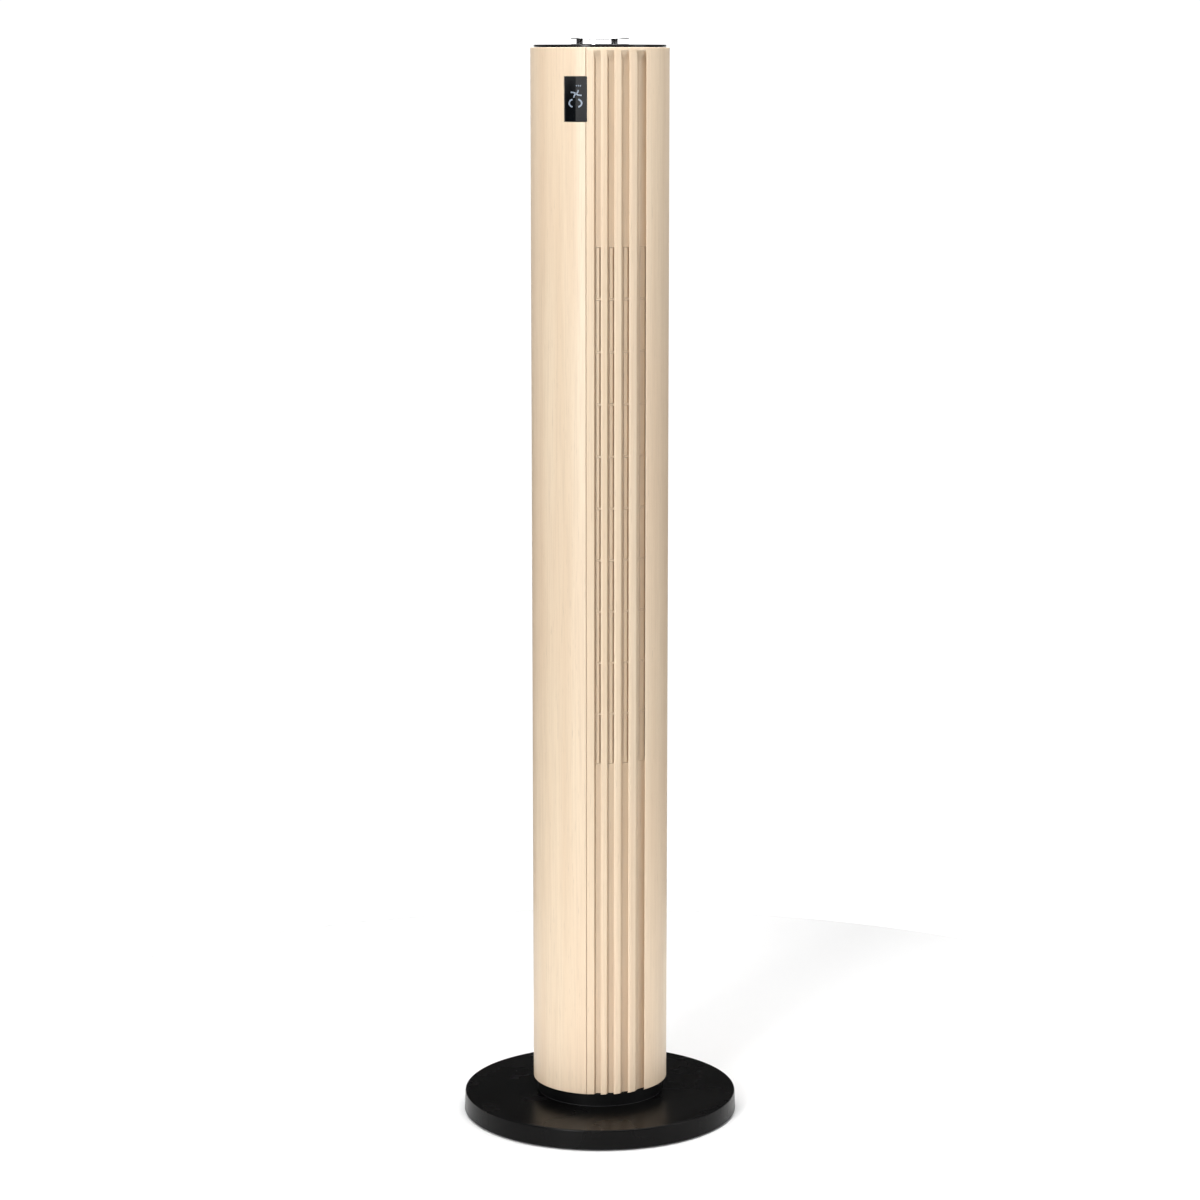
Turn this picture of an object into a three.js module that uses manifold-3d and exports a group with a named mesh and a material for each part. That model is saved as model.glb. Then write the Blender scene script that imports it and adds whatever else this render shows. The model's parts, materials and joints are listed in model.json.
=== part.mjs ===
// Tower air purifier: a slim round tower in light wood on a black swivel base, with a fluted air outlet
// to the right of the display, a metal control dial on top, and a lift-off intake cover with its filter.
// Millimetres, +Z up, the display faces -Y, the origin is on the floor under the middle of the round base.
// Bearings (angles round the tower) are in degrees: 0 faces the front (-Y) and they grow towards +X.
import * as THREE from "three";
import { mergeVertices } from "three/addons/utils/BufferGeometryUtils.js";
import Module from "manifold-3d";

const wasm = await Module();
wasm.setup();

// ---------- driving dimensions ----------
const GAP = 0.3; // air left between two pieces that meet
const FOOT_LIFT = 1.5; // how far the rubber feet hold the base off the floor

const BASE_R = 142.6; // base disc at its lower edge
const BASE_DRAFT = 1; // how much narrower it is at its upper edge
const BASE_TOP = 21.5;
const BASE_SKIN = 3;
const BASE_HOLE_R = 40; // hole in the cover for the swivel
const FOOT_CIRCLE_R = 124;
const BASE_SCREW_CIRCLE_R = 120;
const HUB_BORE_R = 11; // hollow middle of the swivel, for the wiring
const HUB_NECK_R = 16;
const HUB_TOP = 39.2;
const NECK_R = 65.5; // black swivel neck between base and tower
const NECK_WALL = 3;
const NECK_LOW = 22.2;

const TOWER_R = 69.7;
const TOWER_WALL = 2.5;
const TOWER_BOTTOM = 35.5;
const TOWER_TOP = 1101.5;
const SEAM_X = 10.7; // joint line between the plain shell and the fluted shell
const SIDE_SEAM = 115; // bearing of the joint lines with the rear shell

const RIB_LEFT = 12.6; // left side of the first rib
const RIB_PITCH = 12.05;
const RIB_WIDTH = 5.7;
const GROOVES = 4;
const GROOVE_DEPTH = 5;
const GROOVE_WALL = 2; // wall behind a groove's floor
const FLUTES_END = 76; // bearing where the thick fluted part of the shell ends
const RIM = 3; // plain rim above the grooves
const SLOT_LOW = 384; // the air slots in the grooves
const SLOT_HIGH = 906.4;
const SLOT_LEDGE = 0.35; // rim left beside a slot on a groove's floor
const BAYS = 10; // bays between the cross bars behind the slots
const BAR_HEIGHT = 1.8;
const VANE_NOSE = 0.55; // share of a slot's width that the nose of its vane fills
const VANE_SINK = 0.4; // how far the nose lies below the groove's floor
const VANE_THICK = 1.3;
const VANE_DEPTH = 7;
const VANE_SLANT = 0.2; // sideways lean of a vane's tail for each millimetre that it runs back
const VANE_LIMIT_Y = -26.2; // where a vane stops short of the duct's tongue

const WINDOW_LEFT = -12.3; // display window
const WINDOW_RIGHT = 12.5;
const WINDOW_LOW = 1029;
const WINDOW_HIGH = 1073.4;

const DECK_R = 66.4; // black top deck
const DECK_TOP = 1104.2;
const DECK_THICK = 2.4;
const DECK_HOLE_R = 25.8; // hole for the dial's sleeve
const TRAY_TOP = 1084; // tray under the control board
const DIAL_R = 29;
const DIAL_TOP = 1110.7;
const BUTTON_R = 20.1;

const IMPELLER_X = 6;
const IMPELLER_Y = -14;
const IMPELLER_R = 33;
const IMPELLER_LOW = 381;
const IMPELLER_HIGH = 909;
const BLADES = 16;
const BLADE_RINGS = 2; // rings between the two end discs
const SHAFT_R = 3;

const COVER_EDGE = 128; // bearing of the cover opening's side
const COVER_LOW = 371.5; // the opening for the rear cover
const COVER_HIGH = 922.5;
const GRIP_LOW = 890; // finger recess
const GRIP_HIGH = 902;
const INTAKE_ROWS = 4; // rows of intake slots
const INTAKE_LOW = 392;
const INTAKE_PITCH = 122;
const INTAKE_SLOT = 116; // length of one slot
const FILTER_WIDTH = 80;
const FILTER_FRONT = 29;
const FILTER_BACK = 49;
const FILTER_LOW = 388;
const FILTER_HIGH = 908;

const GEAR_MODULE = 1;
const SECTOR_TEETH = 60; // teeth that a whole wheel would have
const PINION_TEETH = 15;
const PINION_Y = (GEAR_MODULE * (SECTOR_TEETH + PINION_TEETH)) / 2;
const GEAR_LOW = 24.9;
const GEAR_HIGH = 31.4;

const INLET_Z = 72; // mains inlet
const INLET_WIDTH = 23.8;
const INLET_HEIGHT = 16;
const INLET_PIN_X = 4.3;
const BASE_DETAIL = 48; // sides of the base disc
const DETAIL = 36; // sides of a large round piece
const SMALL_DETAIL = 20; // sides of a small one

// ---------- materials ----------
const finish = (color, roughness, metalness = 0) =>
  new THREE.MeshStandardMaterial({ color, roughness, metalness });
const WOOD = finish(0xe9cfa9, 0.55);
const BLACK_GLOSS = finish(0x0b0b0c, 0.22);
const BLACK_MATTE = finish(0x121212, 0.6);
const GLASS = finish(0x050608, 0.08);
const CHROME = finish(0xe6e6e8, 0.06, 1);
const STEEL = finish(0x9a9da1, 0.35, 1);
const CASTING = finish(0x4a4c4f, 0.6, 1);
const RUBBER = finish(0x1b1b1b, 0.9);
const INNER = finish(0xd9d2c6, 0.6);
const BOARD = finish(0x1d5a38, 0.5);
const COPPER = finish(0xb06a3c, 0.4, 1);
const GEAR = finish(0xe8e6df, 0.5);
const MEDIA = finish(0xf1f1ee, 0.95);
const MESH = finish(0x33363a, 0.9);

// ---------- outlines ----------
const rad = THREE.MathUtils.degToRad;
const deg = THREE.MathUtils.radToDeg;
const point = (x, y) => new THREE.Vector2(x, y);

// Points of an arc round (cx, cy), from one bearing to another.
function arc(r, from, to, step = 7.5, cx = 0, cy = 0) {
  const count = Math.max(1, Math.ceil(Math.abs(to - from) / step));
  return Array.from({ length: count + 1 }, (_, i) => {
    const a = rad(from + ((to - from) * i) / count);
    return point(cx + r * Math.sin(a), cy - r * Math.cos(a));
  });
}
// Bearing at which a circle of radius r passes x, on the front half.
const bearingAt = (x, r) => deg(Math.asin(x / r));
const sector = (rIn, rOut, from, to, step = 7.5) =>
  [...arc(rOut, from, to, step), ...arc(rIn, to, from, step)];
const rectangle = (x0, y0, x1, y1) => [point(x0, y0), point(x1, y0), point(x1, y1), point(x0, y1)];

// ---------- solids ----------
function solidFrom(geometry) {
  const bare = geometry.clone();
  bare.deleteAttribute("normal");
  bare.deleteAttribute("uv");
  const merged = mergeVertices(bare, 1e-4);
  return new wasm.Manifold(
    new wasm.Mesh({
      numProp: 3,
      vertProperties: new Float32Array(merged.attributes.position.array),
      triVerts: new Uint32Array(merged.index.array),
    }),
  );
}
function geometryFrom(solid) {
  const { numProp, numVert, vertProperties, triVerts } = solid.getMesh();
  const positions = new Float32Array(numVert * 3);
  for (let i = 0; i < numVert; i++)
    positions.set(vertProperties.subarray(i * numProp, i * numProp + 3), i * 3);
  const geometry = new THREE.BufferGeometry();
  geometry.setAttribute("position", new THREE.BufferAttribute(positions, 3));
  geometry.setIndex(new THREE.BufferAttribute(new Uint32Array(triVerts), 1));
  geometry.computeVertexNormals();
  return geometry;
}
// A prism on an outline, from z0 to z1.
function prism(outline, z0, z1) {
  const options = { depth: z1 - z0, bevelEnabled: false, steps: 1 };
  return new THREE.ExtrudeGeometry(new THREE.Shape(outline), options).translate(0, 0, z0);
}
// A profile of [radius, height] pairs turned about +Z. It closes on itself, or starts and ends on the axis.
function turned(profile, sides = DETAIL) {
  const onAxis = profile[0][0] === 0 && profile.at(-1)[0] === 0;
  const points = (onAxis ? profile : [...profile, profile[0]]).map(([r, z]) => point(r, z));
  if (THREE.ShapeUtils.area(points) < 0) points.reverse();
  return new THREE.LatheGeometry(points, sides).rotateX(Math.PI / 2);
}
const cylinder = (r, z0, z1, sides = SMALL_DETAIL) => turned([[0, z0], [r, z0], [r, z1], [0, z1]], sides);
const tube = (rIn, rOut, z0, z1, sides = DETAIL) =>
  turned([[rIn, z0], [rOut, z0], [rOut, z1], [rIn, z1]], sides);
const box = (x0, y0, z0, x1, y1, z1) => prism(rectangle(x0, y0, x1, y1), z0, z1);
const joined = (...parts) => parts.map(solidFrom).reduce((a, b) => a.add(b));
const cutBy = (solid, ...tools) => tools.reduce((left, tool) => left.subtract(solidFrom(tool)), solid);

// A named mesh in its group. The shape is a three.js geometry or a manifold-3d solid.
function add(group, name, shape, material, place = [0, 0, 0], turn = [0, 0, 0]) {
  const geometry = shape.isBufferGeometry ? shape : geometryFrom(shape);
  const mesh = new THREE.Mesh(geometry, material);
  mesh.name = name;
  mesh.position.set(...place);
  mesh.rotation.set(...turn, "ZYX");
  group.add(mesh);
}
// Pan-head screw: the shank points along +Z from its head's seat at z = 0.
const screw = (shankR, length, headR, headHeight) =>
  turned([
    [0, -headHeight], [headR * 0.8, -headHeight], [headR, 0], [shankR, 0], [shankR, length], [0, length],
  ], 8);
// Places round +Z at a radius, from standard angles in degrees.
const around = (r, angles) => angles.map((a) => [r * Math.cos(rad(a)), r * Math.sin(rad(a))]);

// ---------- base ----------
const FEET = around(FOOT_CIRCLE_R, [45, 135, 225, 315]);
const BASE_SCREWS = around(BASE_SCREW_CIRCLE_R, [0, 90, 180, 270]);
const HUB_SCREWS = around(13.5, [30, 150, 270]);

function baseCover() {
  const top = BASE_R - BASE_DRAFT;
  const under = BASE_TOP - BASE_SKIN;
  const shell = turned([
    [BASE_R, FOOT_LIFT], [top, BASE_TOP - 1.4], [top - 0.4, BASE_TOP - 0.4], [top - 1.4, BASE_TOP],
    [BASE_HOLE_R, BASE_TOP], [BASE_HOLE_R, under], [top - BASE_SKIN, under],
    [BASE_R - BASE_SKIN, FOOT_LIFT],
  ], BASE_DETAIL);
  const bosses = BASE_SCREWS.map(([x, y]) => cylinder(4, 3.8, under + 0.5, 8).translate(x, y, 0));
  const pilots = BASE_SCREWS.map(([x, y]) => cylinder(1.5, 3, 13, 8).translate(x, y, 0));
  return cutBy(joined(shell, ...bosses), ...pilots);
}
function baseBottomPlate() {
  const plate = tube(HUB_BORE_R, BASE_R - BASE_SKIN - 0.8, FOOT_LIFT, 3.5, BASE_DETAIL);
  const footHoles = FEET.map(([x, y]) => cylinder(2.9, 0, 5, 8).translate(x, y, 0));
  const screwHoles = BASE_SCREWS.map(([x, y]) => cylinder(1.7, 0, 5, 8).translate(x, y, 0));
  return cutBy(solidFrom(plate), ...footHoles, ...screwHoles);
}
const foot = () => turned([[0, 0], [8.4, 0], [9, 0.6], [9, 1.4], [2.5, 1.4], [2.5, 5], [0, 5]], 12);
const hubScrewHoles = () =>
  HUB_SCREWS.map(([x, y]) => cylinder(1.5, HUB_TOP - 9, HUB_TOP + 3, 8).translate(x, y, 0));
function swivelHub() {
  const seat = GEAR_LOW - GAP;
  const hub = turned([
    [HUB_BORE_R, 3.8], [34, 3.8], [34, 7], [20, 7], [20, seat], [HUB_NECK_R, seat], [HUB_NECK_R, HUB_TOP],
    [HUB_BORE_R, HUB_TOP],
  ], 24);
  return cutBy(solidFrom(hub), ...hubScrewHoles());
}
function hubCap() {
  const ring = tube(HUB_BORE_R, 22, HUB_TOP + 0.2, HUB_TOP + 2, 24);
  return cutBy(solidFrom(ring), ...hubScrewHoles());
}

// One involute tooth's outline about a standard angle in degrees, from its right root to its left root.
function tooth(teeth, at) {
  const pitchR = (GEAR_MODULE * teeth) / 2;
  const baseR = pitchR * Math.cos(rad(20));
  const tipR = pitchR + 0.9 * GEAR_MODULE;
  const rootR = pitchR - 1.25 * GEAR_MODULE;
  const involute = (r) => (r <= baseR ? 0 : Math.sqrt((r / baseR) ** 2 - 1) - Math.acos(baseR / r));
  const backlash = 0.16;
  const halfAtPitch = (Math.PI * GEAR_MODULE) / 4 / pitchR - backlash / 2 / pitchR;
  const half = (r) => halfAtPitch + involute(pitchR) - involute(r);
  const radii = [rootR, Math.max(rootR, baseR), pitchR, tipR];
  const flank = radii.filter((r, i) => i === 0 || r > radii[i - 1] + 0.05);
  const place = (r, a) => point(r * Math.cos(a), r * Math.sin(a));
  const middle = rad(at);
  const right = flank.map((r) => place(r, middle - half(r)));
  const left = flank.map((r) => place(r, middle + half(r)));
  return [...right, ...left.reverse()];
}
// Swing gear: teeth only where the pinion runs, about +Y, and a plain rim for the rest.
function swingSector() {
  const reach = 54;
  const pitch = 360 / SECTOR_TEETH;
  const teeth = [];
  for (let a = 90 - reach; a <= 90 + reach; a += pitch) teeth.push(...tooth(SECTOR_TEETH, a));
  const rootR = (GEAR_MODULE * SECTOR_TEETH) / 2 - 1.25 * GEAR_MODULE;
  const plainAngles = [];
  for (let a = 90 + reach + pitch; a < 450 - reach; a += pitch * 2) plainAngles.push(a);
  const plain = around(rootR, plainAngles).map(([x, y]) => point(x, y));
  const bore = cylinder(HUB_NECK_R + GAP, GEAR_LOW - 1, GEAR_HIGH + 1, 24);
  return cutBy(solidFrom(prism([...teeth, ...plain], GEAR_LOW, GEAR_HIGH)), bore);
}
function drivePinion() {
  const outline = [];
  const pitch = 360 / PINION_TEETH;
  const gapTowardsHub = -90 - pitch / 2; // a tooth space faces the sector at rest
  for (let i = 0; i < PINION_TEETH; i++) outline.push(...tooth(PINION_TEETH, gapTowardsHub + i * pitch));
  const shaft = cylinder(2.2, GEAR_HIGH, 50, 10);
  return joined(prism(outline, GEAR_LOW - 0.4, GEAR_HIGH + 0.4), shaft);
}

// ---------- tower: inside plates and swivel ----------
const THICK_SHELL_R = TOWER_R - GROOVE_DEPTH - GROOVE_WALL; // inner face behind the flutes
const PLATE_R = TOWER_R - TOWER_WALL - 0.4;
const PLATE_FRONT_R = THICK_SHELL_R - 2.7;
const PLATE_REAR_R = 64.5; // clear of the ledge round the rear opening

// A floor plate that follows the shells inside, with its holes cut.
function innerPlate(z0, z1, ...holes) {
  const outline = [
    ...arc(PLATE_FRONT_R, 4, FLUTES_END + 2, 8),
    ...arc(PLATE_R, FLUTES_END + 4, COVER_EDGE - 5, 8),
    ...arc(PLATE_REAR_R, COVER_EDGE - 4, 364 - COVER_EDGE, 8),
    ...arc(PLATE_R, 365 - COVER_EDGE, 362, 8),
  ];
  return cutBy(solidFrom(prism(outline, z0, z1)), ...holes);
}
const PINION_HOLE_R = 9.5;
function turntable() {
  const boreR = HUB_NECK_R + 0.4;
  const innerR = NECK_R - NECK_WALL;
  const body = turned([
    [boreR, 36], [boreR, 39], [PLATE_FRONT_R, 39], [PLATE_FRONT_R, 36], [NECK_R, 34.8],
    [NECK_R, NECK_LOW], [innerR, NECK_LOW], [innerR, 33], [innerR - 3, 36],
  ]);
  return cutBy(solidFrom(body), cylinder(PINION_HOLE_R, 30, 42).translate(0, PINION_Y, 0));
}
function chassisFloor() {
  const hubHole = cylinder(24, 38, 44);
  const pinionHole = cylinder(PINION_HOLE_R, 38, 44).translate(0, PINION_Y, 0);
  return innerPlate(39.3, 42, hubHole, pinionHole);
}
function swingMotor() {
  const can = cylinder(22, 42.3, 60, 24).translate(0, PINION_Y, 0);
  const plug = box(-4, PINION_Y - 20, 60, 4, PINION_Y - 8, 64);
  const shaftHole = cylinder(2.6, 41, 52, 10).translate(0, PINION_Y, 0);
  return cutBy(joined(can, plug), shaftHole);
}

// ---------- tower: outer shells ----------
const windowCut = () =>
  box(WINDOW_LEFT, -TOWER_R - 5, WINDOW_LOW, WINDOW_RIGHT, -THICK_SHELL_R + 4, WINDOW_HIGH);
const SCREW_LEVELS = [150, 1000];
const SCREW_BEARINGS = [121, 239];
const SCREW_SEAT_R = 68.4;

// Inner tabs that carry the rear shell's screws. They root in the shell from bearing `inside` to its edge,
// and run on behind the rear shell to bearing `beyond`.
function screwTabs(inside, edge, beyond) {
  const order = (a, b) => [Math.min(a, b), Math.max(a, b)];
  return SCREW_LEVELS.flatMap((z) => [
    prism(sector(63, 68, ...order(inside, edge)), z - 7, z + 7),
    prism(sector(63, 66.9, ...order(inside, beyond)), z - 7, z + 7),
  ]);
}
// A hole along a bearing, centred at height z, from radius r0 to r1.
function radialCylinder(r, r0, r1, bearing, z, sides = 8) {
  return cylinder(r, r0, r1, sides).rotateX(Math.PI / 2).rotateZ(rad(bearing)).translate(0, 0, z);
}
const pilots = (bearing) => SCREW_LEVELS.map((z) => radialCylinder(1.6, 55, 72, bearing, z));

function leftShell() {
  const seam = bearingAt(SEAM_X - GAP / 2, TOWER_R);
  const from = 360 - SIDE_SEAM;
  const skin = prism(sector(TOWER_R - TOWER_WALL, TOWER_R, from, 360 + seam), TOWER_BOTTOM, TOWER_TOP);
  const shell = joined(skin, ...screwTabs(from + 5, from, from - 9.5));
  return cutBy(shell, windowCut(), ...pilots(SCREW_BEARINGS[1]));
}
// Left side of rib i, and the right side of rib i.
const ribLeft = (i) => RIB_LEFT + i * RIB_PITCH;
const ribRight = (i) => ribLeft(i) + RIB_WIDTH;
function grilleOutline(grooves = GROOVES) {
  const floorR = TOWER_R - GROOVE_DEPTH;
  const outer = [];
  let x = SEAM_X + GAP / 2;
  for (let i = 0; i < grooves; i++) {
    outer.push(...arc(TOWER_R, bearingAt(x, TOWER_R), bearingAt(ribRight(i), TOWER_R), 5));
    outer.push(...arc(floorR, bearingAt(ribRight(i), floorR), bearingAt(ribLeft(i + 1), floorR), 20));
    x = ribLeft(i + 1);
  }
  outer.push(...arc(TOWER_R, bearingAt(x, TOWER_R), SIDE_SEAM - 0.2));
  const inner = [
    ...arc(TOWER_R - TOWER_WALL, SIDE_SEAM - 0.2, FLUTES_END + 2),
    ...arc(THICK_SHELL_R, FLUTES_END, bearingAt(SEAM_X + GAP / 2, THICK_SHELL_R)),
  ];
  return [...outer, ...inner];
}
// Air slots in the groove floors, in bays with a cross bar left between them.
const BAY = (SLOT_HIGH - SLOT_LOW + BAR_HEIGHT) / BAYS;
function outletSlots() {
  const slots = [];
  for (let i = 0; i < GROOVES; i++)
    for (let row = 0; row < BAYS; row++) {
      const left = ribRight(i) + SLOT_LEDGE;
      const right = ribLeft(i + 1) - SLOT_LEDGE;
      const z = SLOT_LOW + row * BAY;
      slots.push(box(left, -TOWER_R, z, right, -20, z + BAY - BAR_HEIGHT));
    }
  return slots;
}
function grilleShell() {
  const edge = SIDE_SEAM - 0.2;
  const skin = prism(grilleOutline(), TOWER_BOTTOM, TOWER_TOP - RIM);
  const rim = prism(grilleOutline(0), TOWER_TOP - RIM, TOWER_TOP);
  const shell = joined(skin, rim, ...screwTabs(edge - 5, edge, edge + 9.5));
  return cutBy(shell, windowCut(), ...outletSlots(), ...pilots(SCREW_BEARINGS[0]));
}
// Outline of the vane in slot i: a broad nose just below the groove's floor, and a tail that leans back to
// the right. The last one has no room for a tail, and has a web on its left instead.
function vaneOutline(i) {
  const floorR = TOWER_R - GROOVE_DEPTH;
  const floorY = (x) => -Math.sqrt(floorR ** 2 - x ** 2);
  const left = ribRight(i) + SLOT_LEDGE;
  const right = ribLeft(i + 1) - SLOT_LEDGE;
  const steep = Math.hypot(1, (floorY(right) - floorY(left)) / (right - left));
  const below = (x, depth) => point(x, floorY(x) + depth * steep);
  const near = left + GAP + 0.05;
  const far = left + VANE_NOSE * (right - left);
  const front = below(far, VANE_SINK);
  const back = Math.min(front.y + VANE_DEPTH, VANE_LIMIT_Y);
  const tail = far + VANE_SLANT * (back - front.y);
  const web = [point(near + VANE_THICK, VANE_LIMIT_Y - 1.1), point(near, VANE_LIMIT_Y - 1.1)];
  return [
    below(near, VANE_SINK), front, point(tail, back), point(tail - VANE_THICK, back),
    below(far - VANE_THICK, VANE_SINK + VANE_THICK), ...(i === GROOVES - 1 ? web : []),
    below(near, VANE_SINK + VANE_THICK),
  ];
}
// Vanes in the slots, tied together behind the shell by strips level with four of the cross bars.
function outletVanes() {
  const behindR = THICK_SHELL_R - GAP;
  const vane = (i) => prism(vaneOutline(i), SLOT_LOW - 2, SLOT_HIGH + 2);
  const vanes = Array.from({ length: GROOVES }, (_, i) => vane(i));
  const strips = [1, 4, 6, 9].map((row) => {
    const z = SLOT_LOW + row * BAY - BAR_HEIGHT / 2;
    return prism(sector(behindR - 2.5, behindR, 12, 63.5, 12), z - 0.8, z + 0.8);
  });
  const clearOfBars = Array.from({ length: BAYS + 1 }, (_, row) => {
    const z = SLOT_LOW + row * BAY;
    const low = z - BAR_HEIGHT - GAP - (row === 0 ? 2 : 0);
    const high = z + GAP + (row === BAYS ? 2 : 0);
    return prism(sector(behindR, TOWER_R + 1, 5, 70, 12), low, high);
  });
  return cutBy(joined(...vanes, ...strips), ...clearOfBars);
}
function rearShell() {
  const [from, to] = [SIDE_SEAM + 0.2, 360 - SIDE_SEAM - 0.2];
  const skin = prism(sector(TOWER_R - TOWER_WALL, TOWER_R, from, to), TOWER_BOTTOM, TOWER_TOP);
  const opening = prism(sector(60, 75, COVER_EDGE, 360 - COVER_EDGE), COVER_LOW, COVER_HIGH);
  const ledge = cutBy(
    solidFrom(prism(sector(64.9, 68, COVER_EDGE - 2, 362 - COVER_EDGE), COVER_LOW - 2, COVER_HIGH + 2)),
    prism(sector(60, 75, COVER_EDGE + 3, 357 - COVER_EDGE), COVER_LOW + 3.5, COVER_HIGH - 3.5),
    prism(sector(67.2, 75, COVER_EDGE, 360 - COVER_EDGE), COVER_LOW, COVER_HIGH),
  );
  const atScrews = (r, from, to) =>
    SCREW_LEVELS.flatMap((z) => SCREW_BEARINGS.map((bearing) => radialCylinder(r, from, to, bearing, z)));
  const [halfWidth, halfHeight] = [INLET_WIDTH / 2 + GAP + 0.1, INLET_HEIGHT / 2 + GAP];
  const inlet = box(-halfWidth, 60, INLET_Z - halfHeight, halfWidth, 75, INLET_Z + halfHeight);
  const shell = cutBy(solidFrom(skin), opening).add(ledge);
  return cutBy(shell, ...atScrews(3.5, 68.2, 75), ...atScrews(1.9, 60, 75), inlet);
}

// ---------- tower: display, boards, air duct, motor, inlet ----------
function displayWindow() {
  const [left, right] = [WINDOW_LEFT + GAP, WINDOW_RIGHT - GAP];
  const [outerR, innerR] = [TOWER_R, TOWER_R - 2.3];
  const outline = [
    ...arc(outerR, bearingAt(left, outerR), bearingAt(right, outerR), 4),
    ...arc(innerR, bearingAt(right, innerR), bearingAt(left, innerR), 4),
  ];
  return prism(outline, WINDOW_LOW + GAP, WINDOW_HIGH - GAP);
}
function displayBoard() {
  const board = box(-11.5, -66, 1026, 9.5, -64.4, 1076);
  const driver = box(-9, -64.6, 1034, 7, -61.5, 1046);
  const sensor = box(-9, -64.6, 1056, 3, -62.4, 1062);
  return joined(board, driver, sensor);
}
const CONTROL_LOW = 1086;
function controlBoard() {
  const board = cylinder(52, CONTROL_LOW, CONTROL_LOW + 1.6, DETAIL);
  const processor = box(-30, 14, CONTROL_LOW + 1, -12, 28, CONTROL_LOW + 4.2);
  const connector = box(10, 20, CONTROL_LOW + 1, 30, 27, CONTROL_LOW + 6);
  const pegHole = cylinder(1.2, CONTROL_LOW - 1, CONTROL_LOW + 3, 8).translate(40, 0, 0);
  return cutBy(joined(board, processor, connector), pegHole);
}
const SWITCH_LOW = CONTROL_LOW + 1.8; // just above the control board
function tactSwitch() {
  const body = box(-2.9, -2.9, SWITCH_LOW, 2.9, 2.9, SWITCH_LOW + 2.6);
  return joined(body, cylinder(1.6, SWITCH_LOW + 2.2, SWITCH_LOW + 3.6, 12));
}
const STEM_R = 4; // stem of the power button
function buttonGuide() {
  const [boreR, low] = [STEM_R + 0.4, SWITCH_LOW + 0.1];
  return turned([[boreR, low], [9, low], [9, low + 1.6], [7, low + 1.6], [7, 1100], [boreR, 1100]], 12);
}
function topDeck() {
  const under = DECK_TOP - DECK_THICK;
  const [skirtIn, skirtOut, skirtLow] = [PLATE_FRONT_R - 2.2, PLATE_FRONT_R, TRAY_TOP + GAP];
  return turned([
    [DECK_HOLE_R, under], [skirtIn, under], [skirtIn, skirtLow], [skirtOut, skirtLow], [skirtOut, under],
    [DECK_R, under], [DECK_R, DECK_TOP - 1.2], [DECK_R - 0.5, DECK_TOP - 0.4], [DECK_R - 1.4, DECK_TOP],
    [DECK_HOLE_R, DECK_TOP],
  ]);
}

const DUCT_LOW = 377.8;
const DUCT_HIGH = 912.7;
// Scroll: opens from a tight gap behind the impeller to the left edge of the outlet.
function scrollWall() {
  const [start, end, steps] = [-150, -5, 14];
  const [tightR, wideR, thick] = [IMPELLER_R + 3.5, IMPELLER_R + 12.5, 2];
  const curve = (extra) =>
    Array.from({ length: steps + 1 }, (_, i) => {
      const a = rad(start + ((end - start) * i) / steps);
      const r = tightR + ((wideR - tightR) * i) / steps + extra;
      return point(IMPELLER_X + r * Math.sin(a), IMPELLER_Y - r * Math.cos(a));
    });
  const flange = [point(-42, 25), point(-42, 27)];
  return prism([...flange, ...curve(0), ...curve(thick).slice(1).reverse()], DUCT_LOW, DUCT_HIGH);
}
// Tongue: its nose splits the outlet from the wheel's return, and its long leg runs back beside the wheel.
function vortexTongue() {
  const nose = [point(39.8, -20.5), point(41.3, -23.5), point(54.4, -25.6), point(54.8, -23.7)];
  const leg = [point(43.3, -21.3), point(46, 27), point(44, 27), point(41.2, -19)];
  return prism([...nose, ...leg], DUCT_LOW, DUCT_HIGH);
}
const MOTOR_LOW = 300;
const MOTOR_TOP = 373.7;
const MOTOR_R = 34;
const MOTOR_WALL = 3;
function motorHousing() {
  const innerR = MOTOR_R - 2.5;
  const [low, high] = [MOTOR_LOW + MOTOR_WALL, MOTOR_TOP - MOTOR_WALL];
  return turned([
    [4, MOTOR_LOW], [MOTOR_R - 2, MOTOR_LOW], [MOTOR_R, MOTOR_LOW + 2], [MOTOR_R, MOTOR_TOP],
    [5, MOTOR_TOP], [5, high], [innerR, high], [innerR, low], [4, low],
  ], 24);
}
const ROTOR_R = 19.5;
const motorStator = () => tube(ROTOR_R + 0.5, MOTOR_R - 2.8, 315, 355, 24);
function motorRotor() {
  const [shaftLow, magnetLow, magnetHigh, shaftHigh] = [MOTOR_LOW + 0.5, 313, 357, IMPELLER_LOW + 7];
  return turned([
    [0, shaftLow], [SHAFT_R, shaftLow], [SHAFT_R, magnetLow], [ROTOR_R, magnetLow], [ROTOR_R, magnetHigh],
    [SHAFT_R, magnetHigh], [SHAFT_R, shaftHigh], [0, shaftHigh],
  ], SMALL_DETAIL);
}
const BRACKET_FRONT = 10; // upright bracket behind the swivel
const BOARD_FRONT = 20; // power board on its posts
function boardBracket() {
  const back = BRACKET_FRONT + 2;
  const plate = box(-34, BRACKET_FRONT, 43.3, 34, back, 296);
  const feet = [-30, 30].map((x) => box(x - 4, BRACKET_FRONT, 42.3, x + 4, back, 44));
  const peg = cylinder(3, back - 0.5, BOARD_FRONT - GAP, 12).rotateX(-Math.PI / 2);
  const post = (x, z) => peg.clone().translate(x, 0, z);
  return joined(plate, ...feet, post(-27, 95), post(27, 95), post(-27, 190), post(27, 190));
}
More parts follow.
